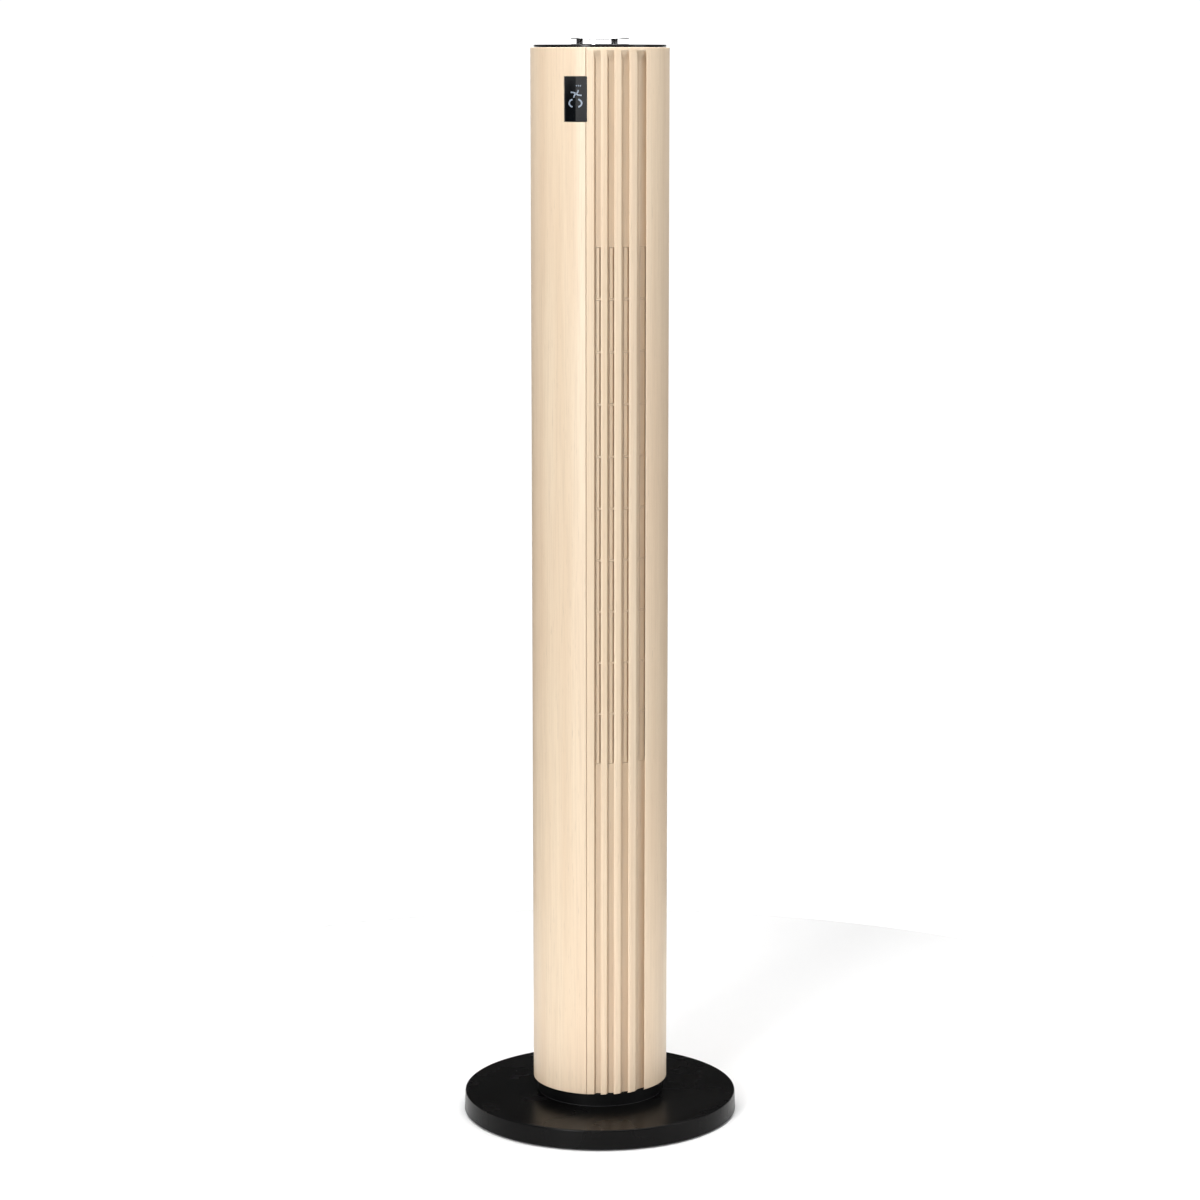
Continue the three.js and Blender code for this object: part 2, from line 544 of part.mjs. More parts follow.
function powerBoard() {
  const seat = BOARD_FRONT + 1.4;
  const board = box(-30, BOARD_FRONT, 90, 30, seat + 0.2, 195);
  const relay = box(10, seat, 100, 26, 33, 116);
  const fuse = box(-24, seat, 150, -4, 28, 162);
  const heatSink = box(6, seat, 130, 24, 40, 141);
  const capacitor = cylinder(6, seat, 42, 16).rotateX(-Math.PI / 2).translate(14, 0, 175);
  return joined(board, relay, fuse, heatSink, capacitor);
}
function powerInlet() {
  const [halfWidth, halfHeight] = [INLET_WIDTH / 2, INLET_HEIGHT / 2];
  const body = box(-halfWidth, 50, INLET_Z - halfHeight, halfWidth, 67.9, INLET_Z + halfHeight);
  const mouth = box(-8.7, 56, INLET_Z - 5, 8.7, 70, INLET_Z + 5);
  const pinHole = (x) => cylinder(1.5, 48, 58, 8).rotateX(-Math.PI / 2).translate(x, 0, INLET_Z);
  return cutBy(solidFrom(body), mouth, pinHole(-INLET_PIN_X), pinHole(INLET_PIN_X));
}

// ---------- impeller ----------
// Cross-flow wheel: blades between two end discs, stiffened by rings, with no shaft through the middle.
function impeller() {
  const boreR = SHAFT_R + GAP;
  const discs = [IMPELLER_LOW, IMPELLER_HIGH - 2].map((z) => tube(boreR, IMPELLER_R, z, z + 2, BLADES));
  const hubs = [IMPELLER_LOW, IMPELLER_HIGH - 9].map((z) => tube(boreR, 8, z, z + 9, SMALL_DETAIL));
  const rings = Array.from({ length: BLADE_RINGS }, (_, i) => {
    const z = IMPELLER_LOW + ((IMPELLER_HIGH - IMPELLER_LOW) * (i + 1)) / (BLADE_RINGS + 1);
    return tube(IMPELLER_R - 7, IMPELLER_R, z - 0.8, z + 0.8, BLADES);
  });
  const [rootR, tipR] = [IMPELLER_R - 7.4, IMPELLER_R - 0.6];
  const outline = [point(-0.6, rootR), point(0.6, rootR), point(2.6, tipR), point(1.6, tipR + 0.2)];
  const blade = prism(outline, IMPELLER_LOW + 1, IMPELLER_HIGH - 1);
  const turn = (2 * Math.PI) / BLADES;
  const blades = Array.from({ length: BLADES }, (_, i) => blade.clone().rotateZ(turn * i));
  return joined(...discs, ...hubs, ...rings, ...blades);
}

// ---------- control dial ----------
const SLEEVE_IN = 22.5; // sleeve that carries the dial through the deck
const SLEEVE_OUT = DECK_HOLE_R - 0.5;
const SLEEVE_LOW = 1097;
function dialRing() {
  const [low, lip, mouthR] = [DECK_TOP + GAP, DIAL_TOP - 2.2, BUTTON_R + 0.5];
  return turned([
    [SLEEVE_IN, SLEEVE_LOW], [SLEEVE_OUT, SLEEVE_LOW], [SLEEVE_OUT, low], [DIAL_R, low],
    [DIAL_R, DIAL_TOP - 0.7], [DIAL_R - 0.7, DIAL_TOP], [mouthR, DIAL_TOP], [mouthR, lip], [SLEEVE_IN, lip],
  ]);
}
function encoderWheel() {
  const high = SLEEVE_LOW - GAP;
  const notch = box(26.6, -1.2, high - 3, 32, 1.2, high + 1);
  const notches = Array.from({ length: 12 }, (_, i) => notch.clone().rotateZ((2 * Math.PI * i) / 12));
  return cutBy(solidFrom(tube(SLEEVE_IN, 30, high - 1.7, high, 24)), ...notches);
}
function powerButton() {
  const [low, under, top] = [SWITCH_LOW + 4.6, DIAL_TOP - 3, DIAL_TOP - 0.5];
  return turned([
    [0, low], [STEM_R, low], [STEM_R, under], [BUTTON_R, under], [BUTTON_R, top - 0.5],
    [BUTTON_R - 0.5, top], [0, top],
  ], 36);
}

// ---------- rear cover and filter ----------
function rearCover() {
  const [from, to] = [COVER_EDGE + 0.4, 359.6 - COVER_EDGE];
  const [low, high] = [COVER_LOW + 0.5, COVER_HIGH - 0.5];
  const facet = (to - from) / 11; // so that each column of slots has a facet of its own
  const skin = prism(sector(TOWER_R - 2.2, TOWER_R, from, to, facet + 0.01), low, high);
  const pocket = box(-20, 58.7, GRIP_LOW - 3, 20, 68, GRIP_HIGH + 3);
  const grip = box(-17, 60.7, GRIP_LOW, 17, 75, GRIP_HIGH);
  const clip = (x, z) => box(x - 1.5, FILTER_BACK + 3.3, z - 8, x + 1.5, 60.8, z + 8);
  const clips = [clip(-32.6, 420), clip(32.6, 420), clip(-32.6, 880), clip(32.6, 880)];
  const slots = [];
  for (let column = -4; column <= 4; column++)
    for (let row = 0; row < INTAKE_ROWS; row++) {
      const z = INTAKE_LOW + row * INTAKE_PITCH;
      slots.push(box(-2.5, 66, z, 2.5, 75, z + INTAKE_SLOT).rotateZ(rad(column * facet)));
    }
  return cutBy(joined(skin, pocket, ...clips), ...slots, grip);
}
const FRAME_WALL = 3;
function filterFrame() {
  const [outer, inner] = [FILTER_WIDTH / 2, FILTER_WIDTH / 2 - FRAME_WALL];
  const [low, high] = [FILTER_LOW + FRAME_WALL, FILTER_HIGH - FRAME_WALL];
  const block = box(-outer, FILTER_FRONT, FILTER_LOW, outer, FILTER_BACK, FILTER_HIGH);
  return cutBy(solidFrom(block), box(-inner, FILTER_FRONT - 1, low, inner, FILTER_BACK + 1, high));
}
function filterMedia() {
  const [pleats, depth, thick] = [16, 11, 5];
  const inset = FRAME_WALL + GAP;
  const half = FILTER_WIDTH / 2 - inset;
  const fold = (lift) =>
    Array.from({ length: pleats * 2 + 1 }, (_, i) =>
      point(-half + (half * i) / pleats, FILTER_FRONT + 2 + (i % 2) * depth + lift));
  return prism([...fold(0), ...fold(thick).reverse()], FILTER_LOW + inset, FILTER_HIGH - inset);
}
function prefilter() {
  const [half, front] = [FILTER_WIDTH / 2, FILTER_BACK + GAP];
  return box(-half, front, FILTER_LOW, half, front + 1.6, FILTER_HIGH);
}

// ---------- assembly ----------
const purifier = new THREE.Group();

const base = new THREE.Group();
purifier.add(base);
add(base, "base_cover", baseCover(), BLACK_GLOSS);
add(base, "base_bottom_plate", baseBottomPlate(), BLACK_MATTE);
add(base, "ballast_plate", tube(46, 112, 4, 9, DETAIL), CASTING);
FEET.forEach(([x, y], i) => add(base, `foot_${i + 1}`, foot(), RUBBER, [x, y, 0]));
BASE_SCREWS.forEach(([x, y], i) =>
  add(base, `base_screw_${i + 1}`, screw(1.2, 10, 3, 0.8), STEEL, [x, y, FOOT_LIFT - 0.1]));
add(base, "swivel_hub", swivelHub(), GEAR);
add(base, "swing_gear_sector", swingSector(), GEAR);
add(base, "hub_cap", hubCap(), STEEL);
HUB_SCREWS.forEach(([x, y], i) =>
  add(base, `hub_screw_${i + 1}`, screw(1.2, 9, 2.4, 1.4), STEEL, [x, y, HUB_TOP + 2.1], [Math.PI, 0, 0]));
add(base, "slide_ring", tube(NECK_R - 2.7, NECK_R - 0.3, BASE_TOP + 0.1, 22.1), BLACK_MATTE);

const tower = new THREE.Group();
purifier.add(tower);
add(tower, "turntable", turntable(), BLACK_MATTE);
add(tower, "chassis_floor", chassisFloor(), INNER);
add(tower, "swing_motor", swingMotor(), STEEL);
add(tower, "left_shell", leftShell(), WOOD);
add(tower, "grille_shell", grilleShell(), WOOD);
add(tower, "rear_shell", rearShell(), WOOD);
add(tower, "outlet_vanes", outletVanes(), WOOD);
SCREW_LEVELS.forEach((z, level) =>
  SCREW_BEARINGS.forEach((bearing, side) => {
    const seat = [SCREW_SEAT_R * Math.sin(rad(bearing)), -SCREW_SEAT_R * Math.cos(rad(bearing)), z];
    const name = `shell_screw_${level * 2 + side + 1}`;
    add(tower, name, screw(1.3, 8, 3, 0.9), STEEL, seat, [-Math.PI / 2, 0, rad(bearing)]);
  }),
);
add(tower, "display_window", displayWindow(), GLASS);
add(tower, "display_board", displayBoard(), BOARD);
add(tower, "control_tray", innerPlate(TRAY_TOP - 3, TRAY_TOP), INNER);
add(tower, "control_board", controlBoard(), BOARD);
add(tower, "tact_switch", tactSwitch(), BLACK_MATTE);
add(tower, "button_guide", buttonGuide(), INNER);
add(tower, "top_deck", topDeck(), BLACK_GLOSS);
add(tower, "scroll_wall", scrollWall(), INNER);
add(tower, "vortex_tongue", vortexTongue(), INNER);
const axisHole = (r, z0, z1) => cylinder(r, z0, z1).translate(IMPELLER_X, IMPELLER_Y, 0);
add(tower, "duct_bottom_plate", innerPlate(374, 377.5, axisHole(5, 370, 380)), INNER);
add(tower, "duct_top_plate", innerPlate(913, 916, axisHole(8, 910, 920)), INNER);
add(tower, "board_bracket", boardBracket(), INNER);
add(tower, "power_board", powerBoard(), BOARD);
add(tower, "transformer", box(-26, 22, 100, 0, 44, 124), COPPER);
add(tower, "power_inlet", powerInlet(), BLACK_MATTE);
[-INLET_PIN_X, INLET_PIN_X].forEach((x, i) =>
  add(tower, `inlet_pin_${i + 1}`, cylinder(1.2, 46, 63, 8), STEEL, [x, 0, INLET_Z], [-Math.PI / 2, 0, 0]));

const fanAxis = new THREE.Group(); // everything about the fan's own axis
fanAxis.position.set(IMPELLER_X, IMPELLER_Y, 0);
tower.add(fanAxis);
add(fanAxis, "motor_housing", motorHousing(), STEEL);
add(fanAxis, "motor_stator", motorStator(), COPPER);
add(fanAxis, "upper_bearing", tube(SHAFT_R + 0.1, 7.6, 912.8, 918, SMALL_DETAIL), RUBBER);
add(fanAxis, "motor_rotor", motorRotor(), STEEL);
add(fanAxis, "impeller", impeller(), BLACK_MATTE);
add(fanAxis, "upper_pin", cylinder(SHAFT_R, 901, 921), STEEL);

const pinion = new THREE.Group();
pinion.position.set(0, PINION_Y, 0);
tower.add(pinion);
add(pinion, "drive_pinion", drivePinion(), GEAR);

const dial = new THREE.Group();
tower.add(dial);
add(dial, "dial_ring", dialRing(), CHROME);
add(dial, "encoder_wheel", encoderWheel(), BLACK_MATTE);
add(dial, "power_button", powerButton(), BLACK_GLOSS);

const cover = new THREE.Group();
tower.add(cover);
add(cover, "rear_cover", rearCover(), WOOD);
add(cover, "filter_frame", filterFrame(), INNER);
add(cover, "filter_media", filterMedia(), MEDIA);
add(cover, "prefilter", prefilter(), MESH);

export default purifier;
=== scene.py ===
# Looks of the tower air purifier: wood-look shells, black base and top, display, dial, outlet, filter, fan.
# Metres, +Z up, the display faces -Y. Bearings run round the tower from the front (-Y) towards +X.
import json
import math

import bmesh
import bpy
from mathutils import Matrix, Vector


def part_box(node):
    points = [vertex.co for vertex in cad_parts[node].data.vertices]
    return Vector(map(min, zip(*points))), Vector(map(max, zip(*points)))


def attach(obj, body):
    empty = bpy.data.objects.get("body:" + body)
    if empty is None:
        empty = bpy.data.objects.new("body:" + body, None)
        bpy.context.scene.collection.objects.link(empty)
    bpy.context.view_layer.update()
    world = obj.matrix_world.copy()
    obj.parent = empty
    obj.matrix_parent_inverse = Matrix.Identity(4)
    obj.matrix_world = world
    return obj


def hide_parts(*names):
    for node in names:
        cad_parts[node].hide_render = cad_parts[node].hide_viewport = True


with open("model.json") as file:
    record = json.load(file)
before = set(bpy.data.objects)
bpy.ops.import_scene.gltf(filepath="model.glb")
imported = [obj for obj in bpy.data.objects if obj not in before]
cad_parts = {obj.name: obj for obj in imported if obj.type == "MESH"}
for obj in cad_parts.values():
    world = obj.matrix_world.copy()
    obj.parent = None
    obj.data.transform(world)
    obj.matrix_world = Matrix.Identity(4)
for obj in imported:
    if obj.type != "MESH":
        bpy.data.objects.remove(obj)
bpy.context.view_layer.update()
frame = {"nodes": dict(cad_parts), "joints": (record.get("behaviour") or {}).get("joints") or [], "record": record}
MM = 0.001

# ---------- the camera: the photograph's view ----------
VIEW_AZIMUTH = 20.4
VIEW_PITCH = 9.4775
VIEW_DISTANCE = 3.246
VIEW_HEIGHT = 1.0838
VIEW_LENS = 96.05

camera = bpy.data.objects.new("camera", bpy.data.cameras.new("camera"))
bpy.context.collection.objects.link(camera)
camera.data.lens = VIEW_LENS
camera.data.sensor_width = 36
camera.location = (
    VIEW_DISTANCE * math.sin(math.radians(VIEW_AZIMUTH)),
    -VIEW_DISTANCE * math.cos(math.radians(VIEW_AZIMUTH)),
    VIEW_HEIGHT,
)
camera.rotation_euler = (math.radians(90 - VIEW_PITCH), 0, math.radians(VIEW_AZIMUTH))
bpy.context.scene.camera = camera


# ---------- sizes read from the frame ----------
def reach(node):
    """How far a CAD node reaches from the swing axis."""
    return max(math.hypot(v.co.x, v.co.y) for v in frame["nodes"][node].data.vertices)


def low(node):
    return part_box(node)[0]


def high(node):
    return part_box(node)[1]


GAP = 0.3 * MM
BASE_TOP = high("base_cover").z

TOWER_R = reach("left_shell")
TOWER_Z = (low("left_shell").z, high("left_shell").z)
SHELL_WALL = 2.5 * MM
SHELL_EDGE = 0.8 * MM  # rounding of the shells' rims
SEAM_X = low("grille_shell").x - 0.15 * MM
SIDE_SEAM = 115  # bearing of the seams beside the rear shell
SHELL_SCREW_BEARINGS = (121, 239)
SHELL_SCREW_Z = (150 * MM, 1000 * MM)
SHELL_SCREW_SEAT = 68.4 * MM

# The air outlet: ribs with grooves between them, and slots in the floors of the grooves.
RIB_LEFT = SEAM_X + 1.9 * MM
RIB_PITCH = 12.05 * MM
RIB_WIDTH = 5.7 * MM
RIB_FALL = 1.1 * MM  # how much lower a rib's right corner is than its left one
GROOVES = 4
GROOVE_DEPTH = 5 * MM
GROOVE_BACK = 2 * MM
SLOT_LEDGE = 0.35 * MM
SLOT_Z = (384 * MM, 906.4 * MM)
BAYS = 10
BAR_HEIGHT = 1.8 * MM
RIM = 3 * MM
SCOOP = 12 * MM  # how far below the rim the grooves start to run out

WINDOW_Z = (low("display_window").z, high("display_window").z)
WINDOW_X = (low("display_window").x, high("display_window").x)
WINDOW_CUT = (WINDOW_Z[0] - GAP, WINDOW_Z[1] + GAP)

COVER_Z = (low("rear_cover").z, high("rear_cover").z)
COVER_EDGE = 128.4  # bearing of the intake cover's first edge
INTAKE_COLUMNS = 9
INTAKE_SLOT = 5 * MM
INTAKE_ROWS = [((392 + 122 * k) * MM, (508 + 122 * k) * MM) for k in range(4)]
GRIP_HALF = 17 * MM
GRIP_Z = (890 * MM, 902 * MM)
CLIP_X = (-32.6, 32.6)
CLIP_Z = (420, 880)

INLET_Z = (low("power_inlet").z + high("power_inlet").z) / 2
INLET_PIN_X = 4.3 * MM
FAN = Vector(next(j["pos_m"] for j in frame["joints"] if j["name"] == "fan_spin"))
FAN_R = 33 * MM
BLADES = 32


# ---------- materials ----------
class Shader:
    """A material's node tree, built a node at a time."""

    def __init__(self, name, color, roughness, metallic=0.0):
        self.material = bpy.data.materials.new(name)
        self.material.use_nodes = True
        self.nodes = self.material.node_tree.nodes
        self.links = self.material.node_tree.links
        self.surface = self.nodes["Principled BSDF"]
        self.set("Base Color", (*color, 1))
        self.set("Roughness", roughness)
        self.set("Metallic", metallic)
        self.where = self.nodes.new("ShaderNodeTexCoord").outputs["Object"]

    def set(self, socket, value):
        self.surface.inputs[socket].default_value = value

    def node(self, kind, **inputs):
        made = self.nodes.new("ShaderNode" + kind)
        for socket, value in inputs.items():
            self.feed(made.inputs[socket.replace("_", " ")], value)
        return made

    def feed(self, socket, value):
        if isinstance(value, bpy.types.NodeSocket):
            self.links.new(value, socket)
        else:
            socket.default_value = value

    def stretched(self, scale):
        """Object coordinates scaled along each axis."""
        return self.node("Mapping", Vector=self.where, Scale=scale).outputs["Vector"]

    def noise(self, scale, stretch=(1, 1, 1), detail=4.0, roughness=0.6):
        where = self.stretched(stretch)
        made = self.node("TexNoise", Vector=where, Scale=scale, Detail=detail, Roughness=roughness)
        return made.outputs["Fac"]

    def ramp(self, fac, *stops):
        """A colour or value by a 0 to 1 factor: stops are (position, colour or grey)."""
        made = self.node("ValToRGB", Fac=fac)
        elements = made.color_ramp.elements
        while len(elements) < len(stops):
            elements.new(0.5)
        for element, (position, value) in zip(elements, stops):
            element.position = position
            element.color = (*value, 1) if isinstance(value, tuple) else (value, value, value, 1)
        return made.outputs["Color"]

    def mix(self, fac, first, second, blend="MIX"):
        made = self.node("Mix")
        made.data_type = "RGBA"
        made.blend_type = blend
        self.feed(made.inputs["Factor"], fac)
        for socket, value in (("A", first), ("B", second)):
            value = value if isinstance(value, bpy.types.NodeSocket) else (*value, 1)
            self.feed(made.inputs[socket], value)
        return made.outputs["Result"]

    def maths(self, operation, first, second=0.0):
        made = self.node("Math")
        made.operation = operation
        self.feed(made.inputs[0], first)
        self.feed(made.inputs[1], second)
        return made.outputs["Value"]

    def edges(self, radius):
        """1 along convex and concave edges within a radius, 0 on open surfaces."""
        bevel = self.node("Bevel", Radius=radius)
        bevel.samples = 4
        geometry = self.node("NewGeometry")
        facing = self.node("VectorMath")
        facing.operation = "DOT_PRODUCT"
        self.links.new(bevel.outputs["Normal"], facing.inputs[0])
        self.links.new(geometry.outputs["Normal"], facing.inputs[1])
        return self.ramp(facing.outputs["Value"], (0.80, 1.0), (0.995, 0.0))

    def painted_flute_shade(self):
        """Painted shade: white on the tower's round, darker towards the floors of the flutes and into the slots,
        where shade falls.
        """
        flat = self.stretched((1, 1, 0))
        length = self.node("VectorMath")
        length.operation = "LENGTH"
        self.links.new(flat, length.inputs[0])
        depth = self.maths("SUBTRACT", TOWER_R, length.outputs["Value"])
        share = self.maths("DIVIDE", depth, GROOVE_DEPTH + MM)
        return self.ramp(share, (0.02, 1.0), (0.2, 0.96), (0.8, 0.845), (0.86, 0.845), (0.92, 0.92))

    def bump(self, height, strength, distance):
        made = self.node("Bump", Height=height, Strength=strength, Distance=distance)
        self.links.new(made.outputs["Normal"], self.surface.inputs["Normal"])

    def color(self, value):
        self.feed(self.surface.inputs["Base Color"], value)

    def roughness(self, value):
        self.feed(self.surface.inputs["Roughness"], value)


def scaled(color, factor):
    return tuple(c * factor for c in color)


def wood_look(name, light, dark, pale_edge):
    """Printed maple: long fine fibres up the tower, soft broader bands and small pores, with painted shade in the
    flutes and a painted highlight along the edges.
    """
    s = Shader(name, light, 0.44)
    bands = s.noise(60, (1, 1, 0.035), 3, 0.5)
    fibres = s.noise(620, (1, 1, 0.018), 5, 0.65)
    clouds = s.noise(9, (1, 1, 0.4), 2, 0.5)
    pores = s.noise(1500, (1, 1, 0.03), 2, 0.5)
    tone = s.mix(s.ramp(bands, (0.35, 0.0), (0.7, 1.0)), light, dark)
    tone = s.mix(s.ramp(fibres, (0.45, 0.0), (0.72, 0.55)), tone, scaled(dark, 0.86))
    tone = s.mix(s.ramp(clouds, (0.4, 0.0), (0.7, 0.35)), tone, (dark[0], dark[1] * 0.93, dark[2] * 0.9))
    tone = s.mix(s.ramp(pores, (0.66, 0.0), (0.74, 0.5)), tone, scaled(dark, 0.62))
    # painted shade: the wood colour is multiplied darker towards the floors of the flutes
    tone = s.mix(1.0, tone, s.painted_flute_shade(), "MULTIPLY")
    # painted highlight: edges within 0.9 mm are mixed towards the paler edge colour, standing in for the light
    # caught by the rounded rib crests
    s.color(s.mix(s.maths("MULTIPLY", s.edges(0.9 * MM), 0.35), tone, pale_edge))
    s.roughness(s.ramp(fibres, (0.35, 0.38), (0.75, 0.52)))
    s.bump(s.mix(0.5, fibres, pores), 0.12, 0.12 * MM)
    return s.material


def moulded(name, color, roughness, grain=0.15, gloss=0.5, pale_edge=(0.25, 0.25, 0.26)):
    """Moulded plastic: a fine spark-eroded grain, faint tone changes and slightly polished edges."""
    s = Shader(name, color, roughness)
    fine = s.noise(2600, detail=2)
    broad = s.noise(14, detail=3)
    paler = tuple(min(1, c * 1.18 + 0.001) for c in color)
    tone = s.mix(s.ramp(broad, (0.35, 0.0), (0.7, 1.0)), color, paler)
    s.color(s.mix(s.maths("MULTIPLY", s.edges(0.5 * MM), 0.12), tone, pale_edge))
    s.roughness(s.ramp(broad, (0.3, roughness * 0.88), (0.75, min(1, roughness * 1.15))))
    s.bump(fine, grain, 0.05 * MM)
    s.set("Specular IOR Level", gloss)
    return s.material


def metal(name, color, roughness, brushed=(1, 1, 1), change=0.12):
    """Metal with a fine directional grain and patches that change its tone a little."""
    s = Shader(name, color, roughness, 1.0)
    grain = s.noise(900, brushed, 4, 0.7)
    patches = s.noise(25, detail=3)
    s.color(s.mix(s.ramp(patches, (0.35, 0.0), (0.7, change)), color, scaled(color, 0.7)))
    s.roughness(s.ramp(grain, (0.3, roughness * 0.75), (0.75, roughness * 1.35)))
    s.bump(grain, 0.05, 0.02 * MM)
    return s.material


def smoked_window():
    """Near-black acrylic with a hard coat, faint wipe marks in the gloss."""
    s = Shader("smoked_acrylic", (0.006, 0.007, 0.009), 0.06)
    wipes = s.noise(40, (1, 1, 0.25), 4)
    s.color(s.ramp(wipes, (0.3, (0.005, 0.006, 0.008)), (0.8, (0.009, 0.011, 0.014))))
    s.roughness(s.ramp(wipes, (0.35, 0.04), (0.8, 0.11)))
    s.bump(wipes, 0.02, 0.05 * MM)
    return s.material


def lit_glyph():
    """Pale blue light of the display's signs."""
    s = Shader("display_light", (0.2, 0.24, 0.3), 0.4)
    glow = s.noise(700, detail=1)
    tone = s.ramp(glow, (0.3, (0.15, 0.19, 0.25)), (0.75, (0.24, 0.28, 0.34)))
    s.color(tone)
    s.feed(s.surface.inputs["Emission Color"], tone)
    s.set("Emission Strength", 0.4)
    return s.material


def woven(name, light, dark, threads, roughness=0.9):
    """A plain weave: threads per metre, raised where a thread passes over."""
    s = Shader(name, light, roughness)
    across = s.node("TexWave", Vector=s.where, Scale=threads, Distortion=0.3)
    across.bands_direction = "X"
    up = s.node("TexWave", Vector=s.where, Scale=threads, Distortion=0.3)
    up.bands_direction = "Z"
    over = s.maths("MULTIPLY", across.outputs["Fac"], up.outputs["Fac"])
    s.color(s.ramp(over, (0.1, dark), (0.7, light)))
    s.bump(over, 0.5, 0.2 * MM)
    s.set("Sheen Weight", 0.2)
    return s.material


def filter_paper():
    """Fibrous filter paper with a little dust."""
    s = Shader("filter_paper", (0.82, 0.82, 0.79), 0.95)
    fibres = s.noise(1400, (1, 1, 0.5), 6, 0.75)
    dust = s.noise(30, detail=4)
    tone = s.ramp(fibres, (0.35, (0.70, 0.70, 0.67)), (0.65, (0.86, 0.86, 0.83)))
    s.color(s.mix(s.ramp(dust, (0.5, 0.0), (0.8, 0.3)), tone, (0.6, 0.58, 0.52)))
    s.bump(fibres, 0.4, 0.15 * MM)
    s.set("Sheen Weight", 0.3)
    return s.material


def circuit_board():
    """Green solder mask over faint copper tracks."""
    s = Shader("circuit_board", (0.02, 0.12, 0.06), 0.35)
    cells = s.node("TexBrick", Vector=s.where, Scale=90.0)
    cells.inputs["Color1"].default_value = (0.018, 0.11, 0.055, 1)
    cells.inputs["Color2"].default_value = (0.022, 0.13, 0.065, 1)
    cells.inputs["Mortar"].default_value = (0.035, 0.19, 0.09, 1)
    grime = s.noise(60, detail=3)
    s.color(s.mix(s.ramp(grime, (0.4, 0.0), (0.8, 0.3)), cells.outputs["Color"], (0.012, 0.07, 0.04)))
    s.roughness(s.ramp(grime, (0.3, 0.28), (0.8, 0.5)))
    s.bump(cells.outputs["Fac"], 0.2, 0.05 * MM)
    return s.material


# the third colour is the paler edge colour, a painted highlight along the wood's edges
WOOD = wood_look("maple_look", (0.83, 0.68, 0.505), (0.765, 0.60, 0.43), (0.92, 0.80, 0.64))
BLACK_SATIN = moulded("black_satin", (0.0022, 0.0021, 0.0021), 0.27, 0.06, 0.1, (0.05, 0.05, 0.05))
BLACK_NECK = moulded("black_neck", (0.002, 0.002, 0.0022), 0.5, 0.12, 0.1, (0.05, 0.05, 0.05))
BLACK_GLOSS = moulded("black_gloss", (0.003, 0.003, 0.0035), 0.16, 0.03, 0.25, (0.06, 0.06, 0.06))
BLACK_GRAINED = moulded("black_grained", (0.012, 0.012, 0.013), 0.55, 0.35)
RUBBER = moulded("rubber", (0.018, 0.018, 0.018), 0.85, 0.5)
ABS = moulded("natural_abs", (0.62, 0.52, 0.40), 0.5, 0.2, pale_edge=(0.8, 0.75, 0.66))
ACETAL = moulded("acetal", (0.72, 0.71, 0.66), 0.4, 0.1, pale_edge=(0.85, 0.84, 0.8))
CHROME = metal("chrome", (0.93, 0.93, 0.94), 0.045, change=0.05)
STEEL = metal("zinc_plated_steel", (0.56, 0.57, 0.60), 0.3, (1, 1, 0.1))
CAST = metal("painted_casting", (0.09, 0.09, 0.1), 0.6)
COPPER = metal("enamelled_copper", (0.55, 0.24, 0.1), 0.35, (0.2, 1, 1))
WINDOW = smoked_window()
GLYPH = lit_glyph()
ICON_PRINT = moulded("icon_print", (0.42, 0.43, 0.45), 0.4, 0.1)
PAPER = filter_paper()
MESH_CLOTH = woven("prefilter_mesh", (0.09, 0.095, 0.10), (0.012, 0.013, 0.014), 520)
BOARD = circuit_board()

SLOT_MATERIAL = {
    "black_gloss": BLACK_SATIN,
    "black_matte": BLACK_GRAINED,
    "display_glass": WINDOW,
    "chrome": CHROME,
    "steel": STEEL,
    "ballast": CAST,
    "rubber": RUBBER,
    "inner_plastic": ABS,
    "gear_plastic": ACETAL,
    "board": BOARD,
    "copper": COPPER,
    "filter_media": PAPER,
    "filter_mesh": MESH_CLOTH,
    "wood_shell": WOOD,
}
SLOT_OF = {part["node"]: part["material_slot"] for part in frame["record"]["subparts"]}
for node, obj in frame["nodes"].items():
    obj.data.materials.clear()
    obj.data.materials.append(SLOT_MATERIAL[SLOT_OF[node]])


# ---------- mesh helpers ----------
def rounded(outline, closed=True, steps=5):
    """Rounds the corners of an outline of (x, y, radius) points, each with a short curve."""
    out = []
    for i, (x, y, radius) in enumerate(outline):
        here = Vector((x, y))
        if radius == 0 or (not closed and i in (0, len(outline) - 1)):
            out.append(here)
            continue
        before = Vector(outline[i - 1][:2]) - here
        after = Vector(outline[(i + 1) % len(outline)][:2]) - here
        half = before.angle(after) / 2
        length = min(radius / math.tan(half), 0.49 * before.length, 0.49 * after.length)
        start = here + before.normalized() * length
        end = here + after.normalized() * length
        for k in range(steps + 1):
            t = k / steps
            out.append(start * (1 - t) ** 2 + here * (2 * t * (1 - t)) + end * t**2)
    return out


def box_outline(x0, y0, x1, y1, radius, steps=5):
    return rounded([(x0, y0, radius), (x1, y0, radius), (x1, y1, radius), (x0, y1, radius)], steps=steps)


def band(here, there, n):
    """Faces between two closed loops of n points that start at two indices."""
    return [[here + i, here + (i + 1) % n, there + (i + 1) % n, there + i] for i in range(n)]


